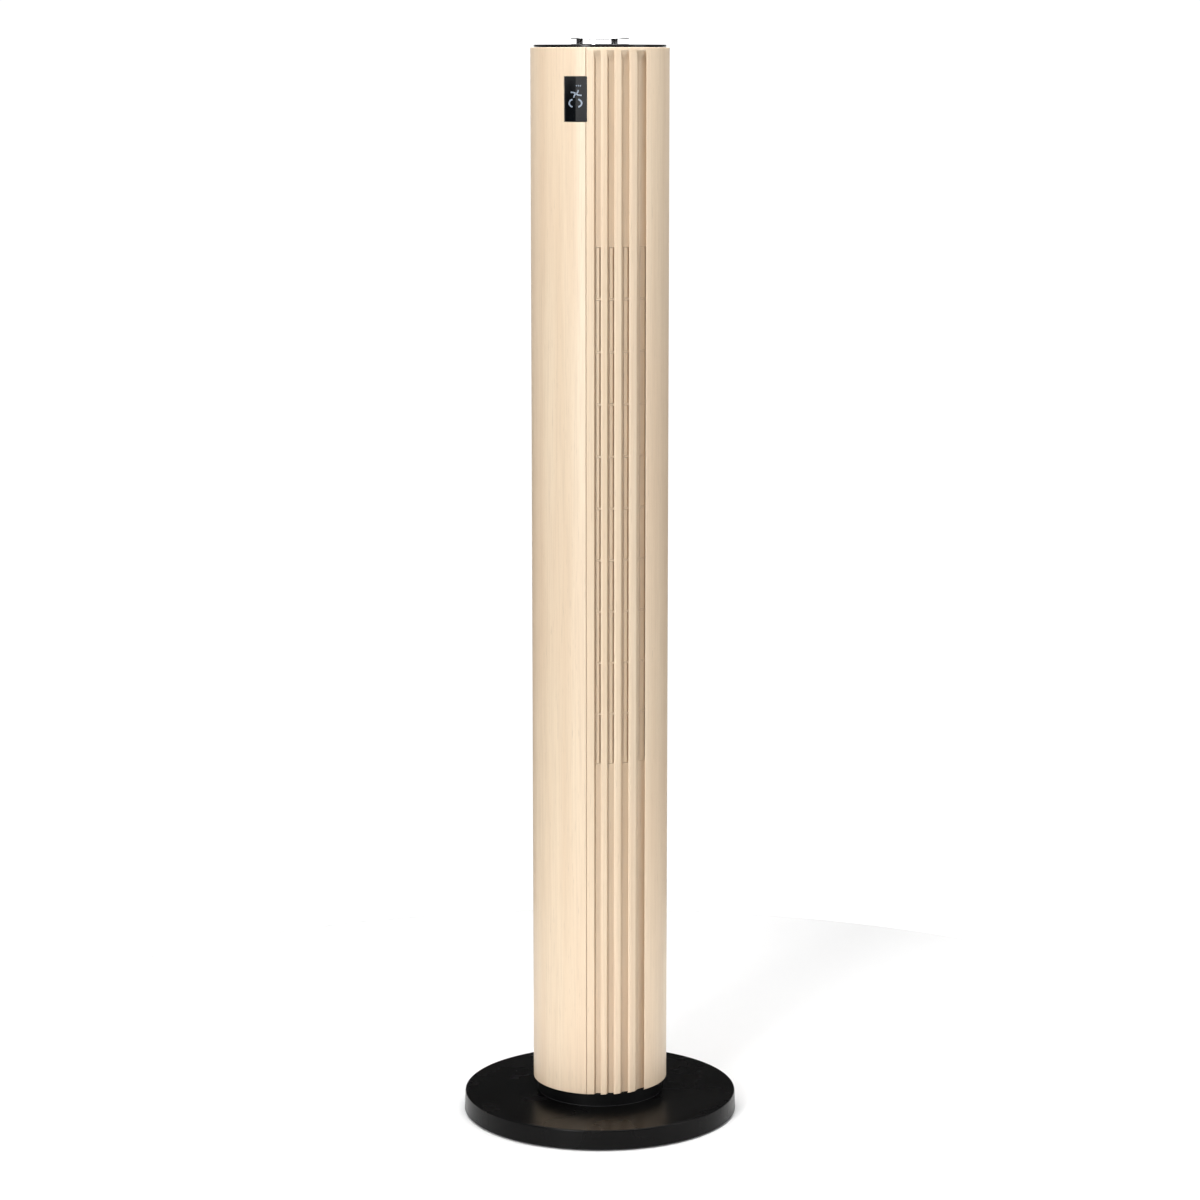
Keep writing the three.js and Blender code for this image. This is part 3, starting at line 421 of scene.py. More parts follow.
class Shape:
    """Points and faces of a piece, gathered from simple sweeps."""

    def __init__(self):
        self.points = []
        self.faces = []

    def add(self, points, faces):
        start = len(self.points)
        self.points += [Vector(p) for p in points]
        self.faces += [[start + i for i in face] for face in faces]
        return self

    def moved(self, place):
        return Shape().add([place @ p for p in self.points], self.faces)

    def loft(self, loops):
        """Skins a row of closed loops with as many points each, and caps both ends."""
        n = len(loops[0])
        points = [p for loop in loops for p in loop]
        faces = [list(range(n))[::-1], [len(points) - n + i for i in range(n)]]
        for k in range(len(loops) - 1):
            faces += band(k * n, (k + 1) * n, n)
        return self.add(points, faces)

    def prism(self, outline, z0, z1):
        return self.loft([[(x, y, z) for x, y in outline] for z in (z0, z1)])

    def ring(self, outside, inside, z0, z1):
        """A plate with one hole. Its two outlines have as many points each."""
        n = len(outside)
        loops = [(outside, z0), (outside, z1), (inside, z1), (inside, z0)]
        points = [(x, y, z) for loop, z in loops for x, y in loop]
        faces = []
        for k in range(4):
            faces += band(k * n, (k + 1) % 4 * n, n)
        return self.add(points, faces)

    def lathe(self, profile, sides):
        """A closed profile of (radius, height) points turned round the upright axis."""
        n = len(profile)
        points = []
        for k in range(sides):
            a = 2 * math.pi * k / sides
            points += [(r * math.cos(a), r * math.sin(a), z) for r, z in profile]
        faces = []
        for k in range(sides):
            here, there = k * n, (k + 1) % sides * n
            for i in range(n):
                j = (i + 1) % n
                on_axis = [profile[i][0] < 1e-7, profile[j][0] < 1e-7]
                if all(on_axis):
                    continue
                corners = [here + i, there + i, there + j, here + j]
                if on_axis[0]:
                    corners = [here + i, there + j, here + j]
                if on_axis[1]:
                    corners = [here + i, there + i, here + j]
                faces.append(corners)
        return self.add(points, faces)


def new_object(name, data):
    made = bpy.data.objects.new(name, data)
    bpy.context.collection.objects.link(made)
    return made


def shade(piece, sharp):
    """Smooth shading that stays sharp at edges beyond an angle."""
    piece.data.shade_smooth()
    piece.data.set_sharp_from_angle(angle=math.radians(sharp))
    even = piece.modifiers.new("even shading", "WEIGHTED_NORMAL")
    even.keep_sharp = True


def make(name, shape, material, body, replaces=(), sharp=35, hard=(), bevel=0.0):
    """A piece with its material, its body and the CAD nodes that it stands for. bevel rounds its edges."""
    mesh = bpy.data.meshes.new(name)
    bm = bmesh.new()
    points = [bm.verts.new(p) for p in shape.points]
    weight = bm.edges.layers.float.new("bevel_weight_edge")
    for face in shape.faces:
        bm.faces.new([points[i] for i in face])
    for a, b in hard:
        bm.edges.get((points[a], points[b]))[weight] = 1
    bmesh.ops.remove_doubles(bm, verts=bm.verts, dist=1e-7)
    bmesh.ops.recalc_face_normals(bm, faces=bm.faces)
    bm.to_mesh(mesh)
    bm.free()
    piece = new_object(name, mesh)
    if bevel:
        cut = piece.modifiers.new("edges", "BEVEL")
        cut.width = bevel
        cut.segments = 3
        cut.limit_method = "WEIGHT" if hard else "ANGLE"
        cut.angle_limit = math.radians(40)
        settle(piece)
    piece.data.materials.clear()
    piece.data.materials.append(material)
    shade(piece, sharp)
    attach(piece, body)
    if replaces:
        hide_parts(*replaces)
    return piece


def settle(piece):
    """Bakes a piece's modifiers into its mesh."""
    bpy.context.view_layer.update()
    graph = bpy.context.evaluated_depsgraph_get()
    done = bpy.data.meshes.new_from_object(piece.evaluated_get(graph))
    piece.modifiers.clear()
    piece.data = done


def carve(piece, *tools):
    """Cuts closed shapes out of a piece."""
    piece.modifiers.clear()
    for tool in tools:
        mesh = bpy.data.meshes.new("tool")
        mesh.from_pydata([tuple(p) for p in tool.points], [], tool.faces)
        bm = bmesh.new()
        bm.from_mesh(mesh)
        bmesh.ops.recalc_face_normals(bm, faces=bm.faces)
        bm.to_mesh(mesh)
        bm.free()
        cutter = new_object("tool", mesh)
        cut = piece.modifiers.new("cut", "BOOLEAN")
        cut.object = cutter
        cut.solver = "EXACT"
        settle(piece)
        bpy.data.objects.remove(cutter)
    shade(piece, 30)


def at_bearing(radius, bearing):
    a = math.radians(bearing)
    return Vector((radius * math.sin(a), -radius * math.cos(a)))


def bearing_at(x, radius):
    return math.degrees(math.asin(x / radius))


def outward(radius, bearing, z):
    """Places a shape so that its +Z points out of the tower at a bearing."""
    x, y = at_bearing(radius, bearing)
    turn = Matrix.Rotation(math.radians(bearing), 4, "Z") @ Matrix.Rotation(math.radians(90), 4, "X")
    return Matrix.Translation((x, y, z)) @ turn


def spread(start, end, step, extra=()):
    """Even values from start to end with some exact ones put in."""
    count = max(1, round(abs(end - start) / step))
    even = [start + (end - start) * i / count for i in range(count + 1)]
    kept = [v for v in even if all(abs(v - e) > step * 0.3 for e in extra)]
    return sorted(set(kept) | set(extra) | {start, end})


def edge_inset(distance, radius):
    """How far a rounded edge stands back from its face, at a distance from the corner."""
    d = max(0.0, radius - distance)
    return radius - math.sqrt(radius**2 - d**2)


def wall(name, columns, rows, material, body, replaces=(), opening=None, shape=None,
         bevel=0.5 * MM):
    """A wall on a grid of cells.

    columns are (outside, inside) points of its section. rows are (height, inset) pairs, where inset rounds
    the outer edge of its top and bottom. opening(column, row) says which cells are cut out, and
    shape(column, height) gives outside points in place of the section's.
    """
    wide, tall = len(columns), len(rows)
    skin = Shape()
    for c, (outside, inside) in enumerate(columns):
        for z, inset in rows:
            face = shape(c, z) if shape else outside
            face = face * (1 - inset / face.length)
            skin.points += [Vector((*face, z)), Vector((*inside, z))]

    def index(c, r, side):
        return (c * tall + r) * 2 + side

    def solid(c, r):
        return 0 <= c < wide - 1 and 0 <= r < tall - 1 and not (opening and opening(c, r))

    hard = set()
    for c in range(wide - 1):
        for r in range(tall - 1):
            if not solid(c, r):
                continue
            corners = [(c, r), (c + 1, r), (c + 1, r + 1), (c, r + 1)]
            skin.faces.append([index(*p, 0) for p in corners])
            skin.faces.append([index(*p, 1) for p in reversed(corners)])
            beside = [(c, r - 1), (c + 1, r), (c, r + 1), (c - 1, r)]
            for k, cell in enumerate(beside):
                if solid(*cell):
                    continue
                a, b = corners[k], corners[(k + 1) % 4]
                skin.faces.append([index(*b, 0), index(*a, 0), index(*a, 1), index(*b, 1)])
                if 0 <= cell[0] < wide - 1 and 0 <= cell[1] < tall - 1:
                    hard.add((index(*a, 0), index(*b, 0)))
    return make(name, skin, material, body, replaces, hard=hard, bevel=bevel if hard else 0)


def arc_bearings(start, end, radius, step=2.0, extra=(), edge=0.5 * MM):
    """Bearings of a round wall's columns, close together where its two ends are rounded."""
    width = math.degrees(edge / radius)
    shares = (0.15, 0.45, 1)
    ends = [start + width * k for k in shares] + [end - width * k for k in shares]
    return spread(start, end, step, tuple(extra) + tuple(ends))


def arc_columns(bearings, outer, inner, edge=0.5 * MM):
    """Columns of a round wall, with its two outer ends rounded."""
    columns = []
    for b in bearings:
        distance = math.radians(min(b - bearings[0], bearings[-1] - b)) * outer
        columns.append((at_bearing(outer - edge_inset(distance, edge), b), at_bearing(inner, b)))
    return columns


def rim_rows(z0, z1, edge, marks=()):
    """Rows of a wall from z0 to z1 with its outer edges rounded, and rows at some exact heights."""
    rows = []
    for k in (0, 0.12, 0.4, 1):
        rows.append((z0 + edge * k, edge_inset(edge * k, edge)))
        rows.append((z1 - edge * k, edge_inset(edge * k, edge)))
    rows += [(z, 0.0) for z in marks]
    return sorted(rows)


def within(value, bounds):
    return bounds[0] < value < bounds[1]


def cut_out(bearings, rows, *openings):
    """A wall's opening test: cells are cut where their middle lies in one of the (bearings, heights)."""
    def test(c, r):
        b = (bearings[c] + bearings[c + 1]) / 2
        z = (rows[r][0] + rows[r + 1][0]) / 2
        return any(within(b, across) and within(z, up) for across, up in openings)

    return test


def at_angle(radius, angle):
    return Vector((radius * math.cos(math.radians(angle)), radius * math.sin(math.radians(angle))))


def cross_head(radius, height):
    """A pan head with a cross recess. Its seat is at z = 0 and its top faces +Z."""
    sides = 48
    rings = [0.1, 0.2, 0.32, 0.44, 0.56, 0.68, 0.8, 0.9, 0.97, 1.0]

    def top(x, y):
        along, across = max(abs(x), abs(y)) / radius, min(abs(x), abs(y)) / radius
        recess = 0.55 * height if along < 0.6 and across < 0.15 else 0.0
        return height * (1 - 0.6 * (math.hypot(x, y) / radius) ** 4) - recess

    def circle(r, height_of):
        spots = [at_angle(r, 360 * k / sides) for k in range(sides)]
        return [(x, y, height_of(x, y)) for x, y in spots]

    loops = [circle(radius * 0.5, lambda x, y: 0), circle(radius, lambda x, y: 0)]
    loops += [circle(radius * share, top) for share in reversed(rings)]
    return Shape().loft(loops)


# ---------- base ----------
def base_disc():
    r_low = reach("base_cover")
    r_top = r_low - 1 * MM
    z0 = low("base_cover").z
    skin = 3 * MM
    hole = 40 * MM
    profile = rounded([
        (r_low, z0, 0.6 * MM),
        (r_top, BASE_TOP, 1.8 * MM),
        (hole, BASE_TOP, 0.3 * MM),
        (hole, BASE_TOP - skin, 0),
        (r_top - skin, BASE_TOP - skin, 0),
        (r_low - skin, z0, 0.3 * MM),
    ])
    make("base_disc", Shape().lathe(profile, 192), BLACK_SATIN, "base", ["base_cover"])


def base_feet():
    """Round rubber feet with a fine groove underneath and a stem that plugs into the base."""
    pad, pad_r, stem, stem_r = 1.4 * MM, 9 * MM, 5 * MM, 2.5 * MM
    profile = rounded([
        (0, 0, 0), (5.5 * MM, 0, 0.2 * MM), (6 * MM, 0.35 * MM, 0.2 * MM), (6.5 * MM, 0, 0.2 * MM),
        (pad_r, 0, 0.5 * MM), (pad_r, pad, 0.2 * MM), (stem_r, pad, 0), (stem_r, stem, 0.3 * MM),
        (0, stem, 0),
    ], closed=False, steps=3)
    for k in range(1, 5):
        centre = sum(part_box(f"foot_{k}"), Vector()) / 2
        foot = Shape().lathe(profile, 40).moved(Matrix.Translation((centre.x, centre.y, 0)))
        make(f"rubber_foot_{k}", foot, RUBBER, "base", [f"foot_{k}"])


def base_screws():
    height = 0.8 * MM
    down = Matrix.Rotation(math.pi, 4, "X")
    for k in range(1, 5):
        a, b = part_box(f"base_screw_{k}")
        place = Matrix.Translation(((a.x + b.x) / 2, (a.y + b.y) / 2, a.z + height)) @ down
        head = cross_head(3 * MM, height).moved(place)
        make(f"pan_head_{k}", head, STEEL, "base", [f"base_screw_{k}"])


def neck():
    """The turntable: a plate round the swivel with a skirt that shows as the black neck."""
    r = reach("turntable")
    z0, z1 = low("turntable").z, high("turntable").z
    plate_r, bore_r, wall_thick = 59.4 * MM, 16.4 * MM, 3 * MM
    under = z1 - wall_thick
    profile = rounded([
        (bore_r, under, 0), (bore_r, z1, 0.4 * MM), (plate_r, z1, 0.3 * MM), (plate_r, under, 0),
        (r, z1 - 4.2 * MM, 0.8 * MM), (r, z0, 0.5 * MM), (r - wall_thick, z0, 0.5 * MM),
        (r - wall_thick, z1 - 6 * MM, 1 * MM), (r - 6 * MM, under, 1 * MM),
    ])
    make("swivel_neck", Shape().lathe(profile, 160), BLACK_NECK, "tower", ["turntable"])


# ---------- tower shells ----------
def plain_shell():
    start, end = 360 - SIDE_SEAM, 360 + bearing_at(SEAM_X - GAP / 2, TOWER_R)
    window_left = 360 + bearing_at(WINDOW_X[0] - GAP, TOWER_R)
    bearings = arc_bearings(start, end, TOWER_R, extra=[window_left])
    rows = rim_rows(*TOWER_Z, SHELL_EDGE, WINDOW_CUT)
    window = cut_out(bearings, rows, ((window_left, end), WINDOW_CUT))
    columns = arc_columns(bearings, TOWER_R, TOWER_R - SHELL_WALL)
    wall("plain_shell", columns, rows, WOOD, "tower", ["left_shell"], window, bevel=SHELL_EDGE)


def on_circle(x, radius):
    return Vector((x, -math.sqrt(radius**2 - x**2)))


def flute_section():
    """Outside points of the fluted stretch, from the seam to just after the last groove."""
    floor_r = TOWER_R - GROOVE_DEPTH
    seam = SEAM_X + GAP / 2
    crest = 2.4 * MM
    corners = [(*on_circle(seam, TOWER_R - 0.5 * MM), 0), (*on_circle(seam + 0.5 * MM, TOWER_R), 0.4 * MM)]
    for i in range(GROOVES):
        left = RIB_LEFT + i * RIB_PITCH
        right = left + RIB_WIDTH
        following = left + RIB_PITCH
        if i > 0:
            corners.append((*on_circle(left + crest, TOWER_R), 1.5 * MM))
        corners += [
            (*on_circle(right, TOWER_R - RIB_FALL), 1.0 * MM),
            (*on_circle(right, floor_r), 0.3 * MM),
            (*on_circle(right + SLOT_LEDGE, floor_r), 0),
            (*on_circle(following - SLOT_LEDGE, floor_r), 0),
            (*on_circle(following, floor_r), 0.3 * MM),
            (*on_circle(following, TOWER_R), 1.9 * MM),
        ]
    corners.append((*on_circle(RIB_LEFT + GROOVES * RIB_PITCH + crest, TOWER_R), 0))
    return rounded(corners, closed=False)


def fluted_shell():
    """The shell with the outlet: its columns follow the flutes, then the plain round to the side seam."""
    back_r = TOWER_R - GROOVE_DEPTH - GROOVE_BACK
    floor_limit = TOWER_R - GROOVE_DEPTH + 0.1 * MM
    last_left = RIB_LEFT + GROOVES * RIB_PITCH
    section = flute_section()
    columns = [(p, on_circle(min(p.x, last_left), back_r)) for p in section]
    panel_start = math.degrees(math.atan2(section[-1].x, -section[-1].y))
    back_start = bearing_at(last_left, back_r)
    end = SIDE_SEAM - 0.2
    bearings = arc_bearings(panel_start, end, TOWER_R)
    first, thick_share = 4, 0.08
    for b, (outside, _) in list(zip(bearings, arc_columns(bearings, TOWER_R, back_r)))[first:]:
        share = (b - panel_start) / (end - panel_start)
        inner_r = back_r if share < thick_share else TOWER_R - SHELL_WALL
        columns.append((outside, at_bearing(inner_r, back_start + share * (end - back_start))))

    bay = (SLOT_Z[1] - SLOT_Z[0] + BAR_HEIGHT) / BAYS
    slots_up = [(SLOT_Z[0] + k * bay, SLOT_Z[0] + (k + 1) * bay - BAR_HEIGHT) for k in range(BAYS)]
    scoop_top = TOWER_Z[1] - RIM
    scoop_rows = [scoop_top - SCOOP * (1 - math.cos(math.radians(a))) for a in range(0, 91, 10)]
    marks = [z for pair in slots_up for z in pair] + scoop_rows + list(WINDOW_CUT)
    rows = rim_rows(*TOWER_Z, SHELL_EDGE, marks)

    def scooped(c, z):
        """The grooves run out to the plain rim in a short scoop."""
        outside = columns[c][0]
        if z < scoop_top - SCOOP or outside.x < RIB_LEFT or c >= len(section):
            return outside
        rest = max(0.0, scoop_top - z) / SCOOP
        depth = 1 - (1 - rest) ** 2
        return on_circle(outside.x, TOWER_R).lerp(outside, depth)

    def cut(c, r):
        x = (columns[c][0].x + columns[c + 1][0].x) / 2
        z = (rows[r][0] + rows[r + 1][0]) / 2
        if columns[c + 1][0].x <= WINDOW_X[1] + 1.5 * GAP:
            return within(z, WINDOW_CUT)
        farthest = max(columns[c][0].length, columns[c + 1][0].length)
        on_floor = c < len(section) - 1 and farthest < floor_limit
        along = (x - RIB_LEFT - RIB_WIDTH) % RIB_PITCH
        in_slot = SLOT_LEDGE < along < RIB_PITCH - RIB_WIDTH - SLOT_LEDGE
        return on_floor and in_slot and any(within(z, slot) for slot in slots_up)

    wall("fluted_shell", columns, rows, WOOD, "tower", ["grille_shell"], cut, scooped, bevel=0.25 * MM)


COVER_OPENING = (COVER_EDGE - 0.4, 360.4 - COVER_EDGE)
COVER_OPENING_Z = (COVER_Z[0] - 0.5 * MM, COVER_Z[1] + 0.5 * MM)


def back_shell():
    """The rear shell, open for the intake cover and the mains inlet, with pockets for its screws."""
    start, end = SIDE_SEAM + 0.2, 360 - SIDE_SEAM - 0.2
    bearings = arc_bearings(start, end, TOWER_R, extra=COVER_OPENING)
    rows = rim_rows(*TOWER_Z, SHELL_EDGE, COVER_OPENING_Z)
    opening = cut_out(bearings, rows, (COVER_OPENING, COVER_OPENING_Z))
    columns = arc_columns(bearings, TOWER_R, TOWER_R - SHELL_WALL)
    shell = wall("back_shell", columns, rows, WOOD, "tower", ["rear_shell"], opening, bevel=0.5 * MM)
    pocket_r, mouth_r, seat, top = 3.5 * MM, 4.6 * MM, -0.2 * MM, 4 * MM
    pocket = rounded([
        (0, seat, 0), (pocket_r, seat, 0), (pocket_r, 0.9 * MM, 0), (mouth_r, 2 * MM, 0), (mouth_r, top, 0),
        (0, top, 0),
    ])
    places = [outward(SHELL_SCREW_SEAT, b, z) for b in SHELL_SCREW_BEARINGS for z in SHELL_SCREW_Z]
    pockets = [Shape().lathe(pocket, 32).moved(place) for place in places]
    wide, tall = 12.3 * MM, 8.3 * MM
    inlet = Shape().prism(box_outline(-wide, -tall, wide, tall, 2.6 * MM), -8 * MM, 6 * MM)
    carve(shell, *pockets, inlet.moved(outward(TOWER_R, 180, INLET_Z)))


def cover_ledge():
    """The frame inside the rear shell that the intake cover rests on."""
    (start, end), (z0, z1) = COVER_OPENING, COVER_OPENING_Z
    clear_across = (start + 3, end - 3)
    clear_up = (z0 + 3.5 * MM, z1 - 3.5 * MM)
    bearings = arc_bearings(start - 2, end + 2, 67 * MM, extra=clear_across)
    rows = rim_rows(z0 - 2 * MM, z1 + 2 * MM, 0.2 * MM, clear_up)
    clear = cut_out(bearings, rows, (clear_across, clear_up))
    columns = arc_columns(bearings, 67.1 * MM, 64.9 * MM, 0.2 * MM)
    wall("cover_ledge", columns, rows, ABS, "tower", (), clear, bevel=0.4 * MM)


def shell_screws():
    for k in range(1, 5):
        middle = sum(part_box(f"shell_screw_{k}"), Vector()) / 2
        bearing = math.degrees(math.atan2(middle.x, -middle.y))
        head = cross_head(3 * MM, 0.9 * MM).moved(outward(SHELL_SCREW_SEAT, bearing, middle.z))
        make(f"shell_screw_head_{k}", head, STEEL, "tower", [f"shell_screw_{k}"])


# ---------- display ----------
def window_glass():
    start, end = (bearing_at(x, TOWER_R) for x in WINDOW_X)
    columns = arc_columns(arc_bearings(start, end, TOWER_R, 1.0), TOWER_R, TOWER_R - 2.3 * MM)
    wall("window_glass", columns, rim_rows(*WINDOW_Z, 0.4 * MM), WINDOW, "tower", ["display_window"])


def stroke(shape, line, width):
    """A thin raised line on the tower's front, through (x, z) points."""
    lift = (TOWER_R - 0.05 * MM, TOWER_R + 0.03 * MM)
    loops = []
    for i, p in enumerate(line):
        ahead = line[min(i + 1, len(line) - 1)] - line[max(i - 1, 0)]
        side = Vector((-ahead.y, ahead.x)).normalized() * width / 2
        left, right = p + side, p - side
        corners = ((left, lift[0]), (left, lift[1]), (right, lift[1]), (right, lift[0]))
        loops.append([(*on_circle(q.x, r), q.y) for q, r in corners])
    shape.loft(loops)


def oval(centre, size, start, end, count=14):
    """Points in millimetres along part of an oval, given back in metres."""
    angles = [math.radians(start + (end - start) * k / count) for k in range(count + 1)]
    (x, z), (wide, tall) = centre, size
    return [Vector((x + wide * math.cos(a), z + tall * math.sin(a))) * MM for a in angles]


def display_icons():
    """Plain signs behind the glass: a broken ring, a rotor and three speed dots."""
    icons = Shape()
    for side in (0, 180):
        stroke(icons, oval((0.1, 1047.3), (6.6, 4.2), side - 62, side + 62), 1.5 * MM)
    for start in (25, 115, 205, 295):
        line = []
        for t in (0.08, 0.3, 0.55, 0.8, 1):
            a = math.radians(start + 15) + 0.5 * t
            line.append(Vector((0.8 + 6.1 * t * math.cos(a), 1056.4 + 4.0 * t * math.sin(a))) * MM)
        stroke(icons, line, 1.3 * MM)
    for k in range(3):
        stroke(icons, oval((1.4 + 2 * k, 1064.2), (0.35, 0.5), 0, 300, 8), 0.6 * MM)
    make("display_icons", icons, GLYPH, "tower")


# ---------- top ----------
def deck_plate():
    """The black top, with a skirt that locates it and a shallow seat round the dial's hole."""
    r = reach("top_deck")
    top = high("top_deck").z
    plate = top - 2.4 * MM
    seat = top - 0.4 * MM
    hole = 25.8 * MM
    skirt_out, skirt_in = 60 * MM, 57.8 * MM
    foot = low("top_deck").z
    profile = rounded([
        (hole, plate, 0), (skirt_in, plate, 0), (skirt_in, foot, 0.3 * MM), (skirt_out, foot, 0.3 * MM),
        (skirt_out, plate, 0), (r, plate, 0.3 * MM), (r, top, 1.5 * MM), (30.6 * MM, top, 0.3 * MM),
        (30.3 * MM, seat, 0.2 * MM), (hole, seat, 0.2 * MM),
    ])
    make("deck_plate", Shape().lathe(profile, 160), BLACK_GLOSS, "tower", ["top_deck"])


def control_dial():
    """The metal dial: a ring round the button, on a sleeve through the deck."""
    r = reach("dial_ring")
    z1 = high("dial_ring").z
    z0 = high("top_deck").z + GAP
    sleeve_in, sleeve_out, sleeve_foot = 22.5 * MM, 25.3 * MM, 1097 * MM
    mouth, lip = 20.6 * MM, 1108.5 * MM
    chamfer = 0.4 * MM
    profile = rounded([
        (sleeve_in, sleeve_foot, 0), (sleeve_out, sleeve_foot, 0), (sleeve_out, z0, 0),
        (r - chamfer, z0, 0.2 * MM), (r, z0 + chamfer, 0.2 * MM), (r, z1, 0.8 * MM),
        (mouth + chamfer, z1, 0.3 * MM), (mouth, z1 - 0.5 * MM, 0.2 * MM), (mouth, lip, 0),
        (sleeve_in, lip, 0),
    ])
    make("dial_body", Shape().lathe(profile, 160), CHROME, "dial", ["dial_ring"])


def dial_button():
    """The dished button in the middle of the dial, with a plain power sign printed on it."""
    top = high("power_button").z
    foot = low("power_button").z
    r = reach("power_button")
    stem, under, face = 4 * MM, top - 2.5 * MM, top - 0.35 * MM
    profile = rounded([
        (0, foot, 0), (stem, foot, 0.2 * MM), (stem, under, 0), (r, under, 0.2 * MM), (r, top, 0.6 * MM),
        (r - 2.5 * MM, top, 1 * MM), (r - 8 * MM, face, 3 * MM), (0, face, 0),
    ], closed=False)
    make("button_cap", Shape().lathe(profile, 128), BLACK_GLOSS, "button", ["power_button"])

    start, end, steps = 122, 418, 32
    outer = [at_angle(4.6 * MM, start + (end - start) * k / steps) for k in range(steps + 1)]
    inner = [at_angle(3.7 * MM, end - (end - start) * k / steps) for k in range(steps + 1)]
    print_z = (face - 0.1 * MM, face + 0.05 * MM)
    icon = Shape().prism(outer + inner, *print_z)
    icon.prism(box_outline(-0.45 * MM, 1.6 * MM, 0.45 * MM, 6.2 * MM, 0.3 * MM), *print_z)
    make("button_icon", icon, ICON_PRINT, "button")


# ---------- mains inlet ----------
def by_angle(outline, count=96):
    """A star-shaped outline drawn again with one point on each of `count` rays from its middle."""
    out = []
    for k in range(count):
        ray = at_angle(1, 360 * (k + 0.5) / count)
        best = 0
        for a, b in zip(outline, outline[1:] + outline[:1]):
            side = b - a
            cross = ray.x * side.y - ray.y * side.x
            if abs(cross) < 1e-12:
                continue
            t = (a.x * side.y - a.y * side.x) / cross
            s = (a.x * ray.y - a.y * ray.x) / cross
            if t > 0 and -1e-9 <= s <= 1 + 1e-9:
                best = max(best, t)
        out.append(ray * best)
    return out


def inlet_socket():
    """A two-pin figure-of-eight mains socket in the back."""
    box = by_angle(box_outline(-11.9 * MM, -8 * MM, 11.9 * MM, 8 * MM, 2.4 * MM))
    lobe = [at_angle(4.6 * MM, a) + Vector((4.1 * MM, 0)) for a in range(-150, 151, 15)]
    eight = by_angle(lobe + [-p for p in lobe])
    back, floor, mouth = 50 * MM, 56 * MM, 67.9 * MM
    body = Shape().ring(box, eight, floor, mouth)
    body.prism(box, back, floor)
    body = body.moved(outward(0, 180, INLET_Z))
    make("inlet_socket", body, BLACK_GRAINED, "tower", ["power_inlet"], bevel=0.4 * MM)

    pin_r, foot, tip = 1.2 * MM, 46 * MM, 63 * MM
    pin = rounded([(0, foot, 0), (pin_r, foot, 0), (pin_r, tip, 0.9 * MM), (0, tip, 0)], closed=False)
    to_back = Matrix.Rotation(math.radians(-90), 4, "X")
    for k, x in ((1, -INLET_PIN_X), (2, INLET_PIN_X)):
        contact = Shape().lathe(pin, 24).moved(Matrix.Translation((x, 0, INLET_Z)) @ to_back)
        make(f"contact_pin_{k}", contact, STEEL, "tower", [f"inlet_pin_{k}"])


# ---------- intake cover and filter ----------
def intake_panel():
    """The lift-off rear cover: nine columns of air slots in four rows, and a finger recess above them."""
    start, end = COVER_EDGE, 360 - COVER_EDGE
    pitch = (end - start) / (INTAKE_COLUMNS + 2)
    half = bearing_at(INTAKE_SLOT / 2, TOWER_R)
    side = INTAKE_COLUMNS // 2
    slots_across = [(180 + k * pitch - half, 180 + k * pitch + half) for k in range(-side, side + 1)]
    grip_half = bearing_at(GRIP_HALF, TOWER_R)
    grip = (180 - grip_half, 180 + grip_half)
    marks = [b for pair in slots_across for b in pair] + list(grip)
    bearings = arc_bearings(start, end, TOWER_R, 1.6, marks)
    rows = rim_rows(*COVER_Z, 0.5 * MM, [z for pair in INTAKE_ROWS for z in pair] + list(GRIP_Z))
    slots = [(across, up) for across in slots_across for up in INTAKE_ROWS]
    openings = cut_out(bearings, rows, (grip, GRIP_Z), *slots)
    columns = arc_columns(bearings, TOWER_R, TOWER_R - 2.2 * MM)
    wall("intake_panel", columns, rows, WOOD, "intake_cover", ["rear_cover"], openings, bevel=0.6 * MM)


def finger_cup():
    """The moulded cup of the finger recess: in at the front, round the lip and down its outside."""
    def loop(x, z0, z1, radius, y):
        return [(p.x, y, p.y) for p in box_outline(-x * MM, z0 * MM, x * MM, z1 * MM, radius * MM)]

    cup = Shape().loft([
        loop(14.5, 892.4, 899.6, 2, 60.7 * MM), loop(15.8, 891.1, 900.9, 2.6, 61.3 * MM),
        loop(16.6, 890.4, 901.6, 2.4, 63 * MM), loop(17, 890, 902, 2, 66.9 * MM),
        loop(19.2, 887.8, 904.2, 2, 66.4 * MM), loop(19.2, 887.8, 904.2, 2, 58.8 * MM),
    ])
    make("finger_cup", cup, BLACK_GRAINED, "intake_cover")


def cover_clips():
    """Small posts inside the cover that hold the filter."""
    half, tall, front, back = 1.4, 8, 52.4, 61
    for k, (x, z) in enumerate([(x, z) for x in CLIP_X for z in CLIP_Z]):
        outline = [(x - half, front), (x + half, front), (x + half, back), (x - half, back)]
        clip = Shape().prism([(a * MM, b * MM) for a, b in outline], (z - tall) * MM, (z + tall) * MM)
        make(f"cover_clip_{k + 1}", clip, ABS, "intake_cover", bevel=0.5 * MM)


def upright_frame(node, width):
    """A rectangular frame that fills a CAD node's box, with its opening facing the back."""
    a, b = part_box(node)
    outside = box_outline(a.x, a.z, b.x, b.z, 2 * MM)
    inside = box_outline(a.x + width, a.z + width, b.x - width, b.z - width, 1 * MM)
    return Shape().ring(outside, inside, -b.y, -a.y).moved(Matrix.Rotation(math.radians(90), 4, "X"))


def cartridge_frame():
    rim = upright_frame("filter_frame", 3 * MM)
    make("cartridge_frame", rim, ABS, "intake_cover", ["filter_frame"], bevel=0.7 * MM)


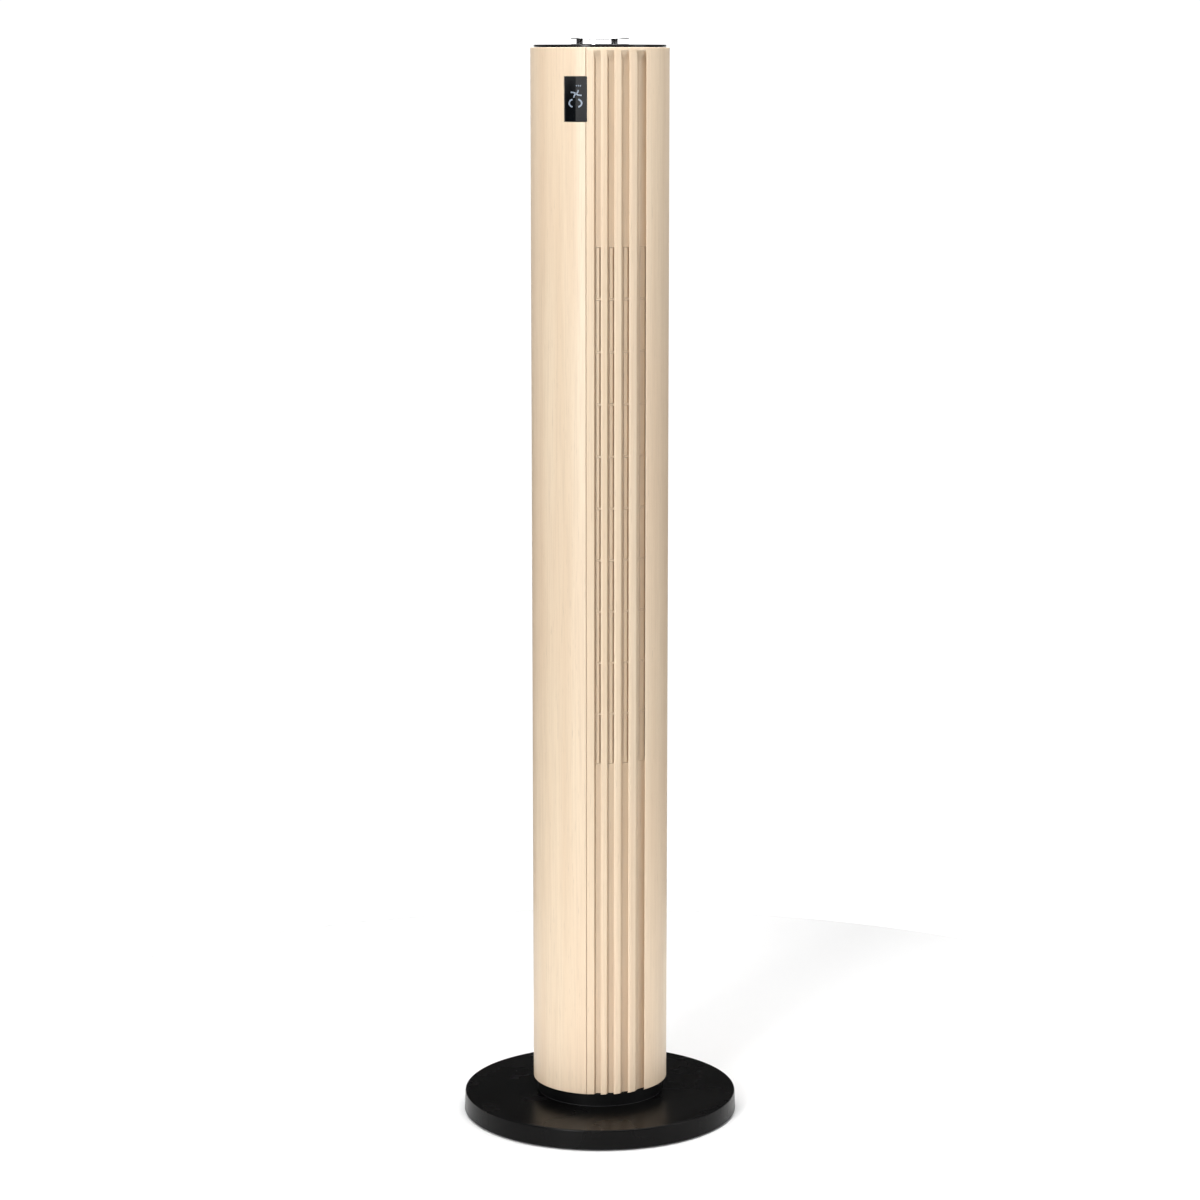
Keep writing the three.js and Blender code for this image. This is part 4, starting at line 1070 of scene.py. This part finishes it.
def pleats():
    """The folded filter paper, and the beads across its front that keep the folds apart."""
    a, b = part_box("filter_media")
    count = 26
    sheet = 0.9 * MM
    step = (b.x - a.x) / count
    front, back = a.y + 1.5 * MM, b.y - sheet
    fold = [(a.x + step * i / 2, back if i % 2 else front, 0.5 * MM) for i in range(2 * count + 1)]
    fold[0] = (*fold[0][:2], 0)
    fold[-1] = (*fold[-1][:2], 0)
    line = rounded(fold, closed=False, steps=3)
    outline = line + [Vector((p.x, p.y + sheet)) for p in reversed(line)]
    make("pleats", Shape().prism(outline, a.z, b.z), PAPER, "intake_cover", ["filter_media"], sharp=60)
    beads = Shape()
    bead_count, bead_half = 8, 0.8 * MM
    for k in range(1, bead_count + 1):
        z = a.z + (b.z - a.z) * k / (bead_count + 1)
        beads.prism(box_outline(a.x, a.y, b.x, a.y + 1.4 * MM, 0.5 * MM), z - bead_half, z + bead_half)
    make("pleat_spacers", beads, ACETAL, "intake_cover", bevel=0.3 * MM)


def dust_mesh():
    """The washable pre-filter: a moulded rim with a fine mesh in it."""
    rim = upright_frame("prefilter", 4 * MM)
    make("dust_mesh_rim", rim, BLACK_GRAINED, "intake_cover", bevel=0.4 * MM)
    a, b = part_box("prefilter")
    middle = (a.y + b.y) / 2
    thread, pitch, inset = 0.28 * MM, 2.2 * MM, 3.5 * MM
    across = spread(a.x + inset, b.x - inset, pitch)
    up = spread(a.z + inset, b.z - inset, pitch)
    mesh = Shape()
    for x in across:
        left, right, near = x - thread, x + thread, middle - thread
        mesh.prism([(left, near), (right, near), (right, middle), (left, middle)], up[0], up[-1])
    for z in up:
        left, right, far = across[0], across[-1], middle + thread
        mesh.prism([(left, middle), (right, middle), (right, far), (left, far)], z - thread, z + thread)
    make("dust_mesh", mesh, MESH_CLOTH, "intake_cover", ["prefilter"])


# ---------- fan ----------
def blower_wheel():
    """Cross-flow wheel: many thin curved blades between discs, with stiffening rings."""
    z0, z1 = low("impeller").z, high("impeller").z
    bore, hub, plate, hub_tall = 3.3 * MM, 8 * MM, 2 * MM, 9 * MM
    sides, ring_count, ring_half = 72, 5, 0.7 * MM
    inner = FAN_R - 7 * MM
    wheel = Shape()
    disc = [(bore, 0), (FAN_R, 0), (FAN_R, plate), (hub, plate), (hub, hub_tall), (bore, hub_tall)]
    wheel.lathe([(x, z0 + z) for x, z in disc], sides)
    wheel.lathe([(x, z1 - z) for x, z in disc], sides)
    for k in range(1, ring_count + 1):
        z = z0 + (z1 - z0) * k / (ring_count + 1)
        under, over = z - ring_half, z + ring_half
        wheel.lathe([(inner, under), (FAN_R, under), (FAN_R, over), (inner, over)], sides)
    for k in range(BLADES):
        root = 360 * k / BLADES
        middle = [at_angle(FAN_R - (7.2 - 6.8 * t) * MM, root + 9 * t * t) for t in (0, 0.25, 0.5, 0.75, 1)]
        across = at_angle(0.35 * MM, root + 90)
        outline = [p + across for p in middle] + [p - across for p in reversed(middle)]
        wheel.prism(outline, z0 + 1 * MM, z1 - 1 * MM)
    wheel = wheel.moved(Matrix.Translation((FAN.x, FAN.y, 0)))
    make("blower_wheel", wheel, BLACK_GRAINED, "fan_wheel", ["impeller"])


base_disc()
base_feet()
base_screws()
neck()
plain_shell()
fluted_shell()
back_shell()
cover_ledge()
shell_screws()
window_glass()
display_icons()
deck_plate()
control_dial()
dial_button()
inlet_socket()
intake_panel()
finger_cup()
cover_clips()
cartridge_frame()
pleats()
dust_mesh()
blower_wheel()


# ---------- studio ----------
FLOOR_R = 0.8
AMBIENT = 0.09
CARD_R = 20
CARD_LIGHT = 1.5
UPPER_CARDS = [(-52, 66), (95, 272)]  # bearings of the bright spans
UPPER_CARD_Z = (1.12, 1.5)
LOWER_CARDS = [(-20, 320)]
LOWER_CARD_Z = (0.5, 1.12)


def floor_disc():
    mesh = bpy.data.meshes.new("floor")
    piece = new_object("floor", mesh)
    bm = bmesh.new()
    bmesh.ops.create_circle(bm, cap_ends=True, segments=128, radius=FLOOR_R)
    bm.to_mesh(mesh)
    bm.free()
    s = Shader("pale_floor", (0.92, 0.92, 0.92), 0.8)
    s.color(s.ramp(s.noise(3), (0.3, (0.915, 0.915, 0.915)), (0.7, (0.925, 0.925, 0.925))))
    mesh.materials.append(s.material)


def reflector():
    """Bright cards round the studio that only gloss picks up, with gaps left between them."""
    shape = Shape()
    for spans, heights in ((UPPER_CARDS, UPPER_CARD_Z), (LOWER_CARDS, LOWER_CARD_Z)):
        for start, end in spans:
            steps = spread(start, end, 6)
            points = [(*at_bearing(CARD_R, b), z) for b in steps for z in heights]
            shape.add(points, [[2 * i, 2 * i + 2, 2 * i + 3, 2 * i + 1] for i in range(len(steps) - 1)])
    mesh = bpy.data.meshes.new("reflector")
    mesh.from_pydata([tuple(p) for p in shape.points], [], shape.faces)
    piece = new_object("reflector", mesh)
    glow = bpy.data.materials.new("card_light")
    glow.use_nodes = True
    surface = glow.node_tree.nodes["Principled BSDF"]
    surface.inputs["Base Color"].default_value = (0, 0, 0, 1)
    surface.inputs["Emission Color"].default_value = (1, 1, 1, 1)
    surface.inputs["Emission Strength"].default_value = CARD_LIGHT
    mesh.materials.append(glow)
    piece.visible_camera = False
    piece.visible_diffuse = False
    piece.visible_shadow = False
    piece.visible_transmission = False


def softbox(name, azimuth, elevation, distance, size, power, aim=(0, 0, 0.58)):
    """A rectangular lamp at a bearing and elevation, facing the point it is aimed at."""
    lamp = new_object(name, bpy.data.lights.new(name, "AREA"))
    lamp.data.shape = "RECTANGLE"
    lamp.data.size, lamp.data.size_y = size
    lamp.data.energy = power
    a, e = math.radians(azimuth), math.radians(elevation)
    out = Vector((math.sin(a) * math.cos(e), -math.cos(a) * math.cos(e), math.sin(e)))
    lamp.location = Vector(aim) + out * distance
    lamp.rotation_euler = (-out).to_track_quat("-Z", "Y").to_euler()
    return lamp


def keep_off(lamp, name):
    """Flags a lamp off one polished piece, so that it isn't mirrored there."""
    flagged = bpy.data.collections.new("flagged")
    lamp.light_linking.receiver_collection = flagged
    flagged.objects.link(bpy.data.objects[name])
    flagged.collection_objects[0].light_linking.link_state = "EXCLUDE"


def studio_world():
    """White to the camera, faint to matt surfaces, and for gloss a dark horizon under a soft ceiling."""
    world = bpy.data.worlds.new("studio")
    bpy.context.scene.world = world
    world.use_nodes = True
    nodes, links = world.node_tree.nodes, world.node_tree.links

    def maths(operation, first, second):
        made = nodes.new("ShaderNodeMath")
        made.operation = operation
        for socket, value in zip(made.inputs, (first, second)):
            if isinstance(value, bpy.types.NodeSocket):
                links.new(value, socket)
            else:
                socket.default_value = value
        return made.outputs[0]

    ray = nodes.new("ShaderNodeLightPath").outputs
    split = nodes.new("ShaderNodeSeparateXYZ")
    links.new(nodes.new("ShaderNodeTexCoord").outputs["Generated"], split.inputs[0])
    ceiling = nodes.new("ShaderNodeMapRange")
    links.new(split.outputs["Z"], ceiling.inputs["Value"])
    for socket, value in (("From Min", 0.45), ("From Max", 0.8), ("To Min", 0.012), ("To Max", 0.6)):
        ceiling.inputs[socket].default_value = value
    strength = maths("MULTIPLY", ray["Is Glossy Ray"], ceiling.outputs["Result"])
    strength = maths("ADD", strength, maths("MULTIPLY", ray["Is Diffuse Ray"], AMBIENT))
    strength = maths("ADD", strength, maths("MULTIPLY", ray["Is Camera Ray"], 1.05))
    links.new(strength, nodes["Background"].inputs["Strength"])
    nodes["Background"].inputs["Color"].default_value = (1, 1, 1, 1)


floor_disc()
reflector()
key = softbox("key", -5, 12, 3.2, (0.6, 2.4), 75)
fill = softbox("fill", 92, 10, 3.4, (1.4, 2.4), 38)
softbox("top", 20, 88, 2.4, (2.4, 2.4), 75, (0, 0, 0))
studio_world()
keep_off(key, "window_glass")
keep_off(fill, "dial_body")
bpy.context.scene.view_settings.view_transform = "Standard"
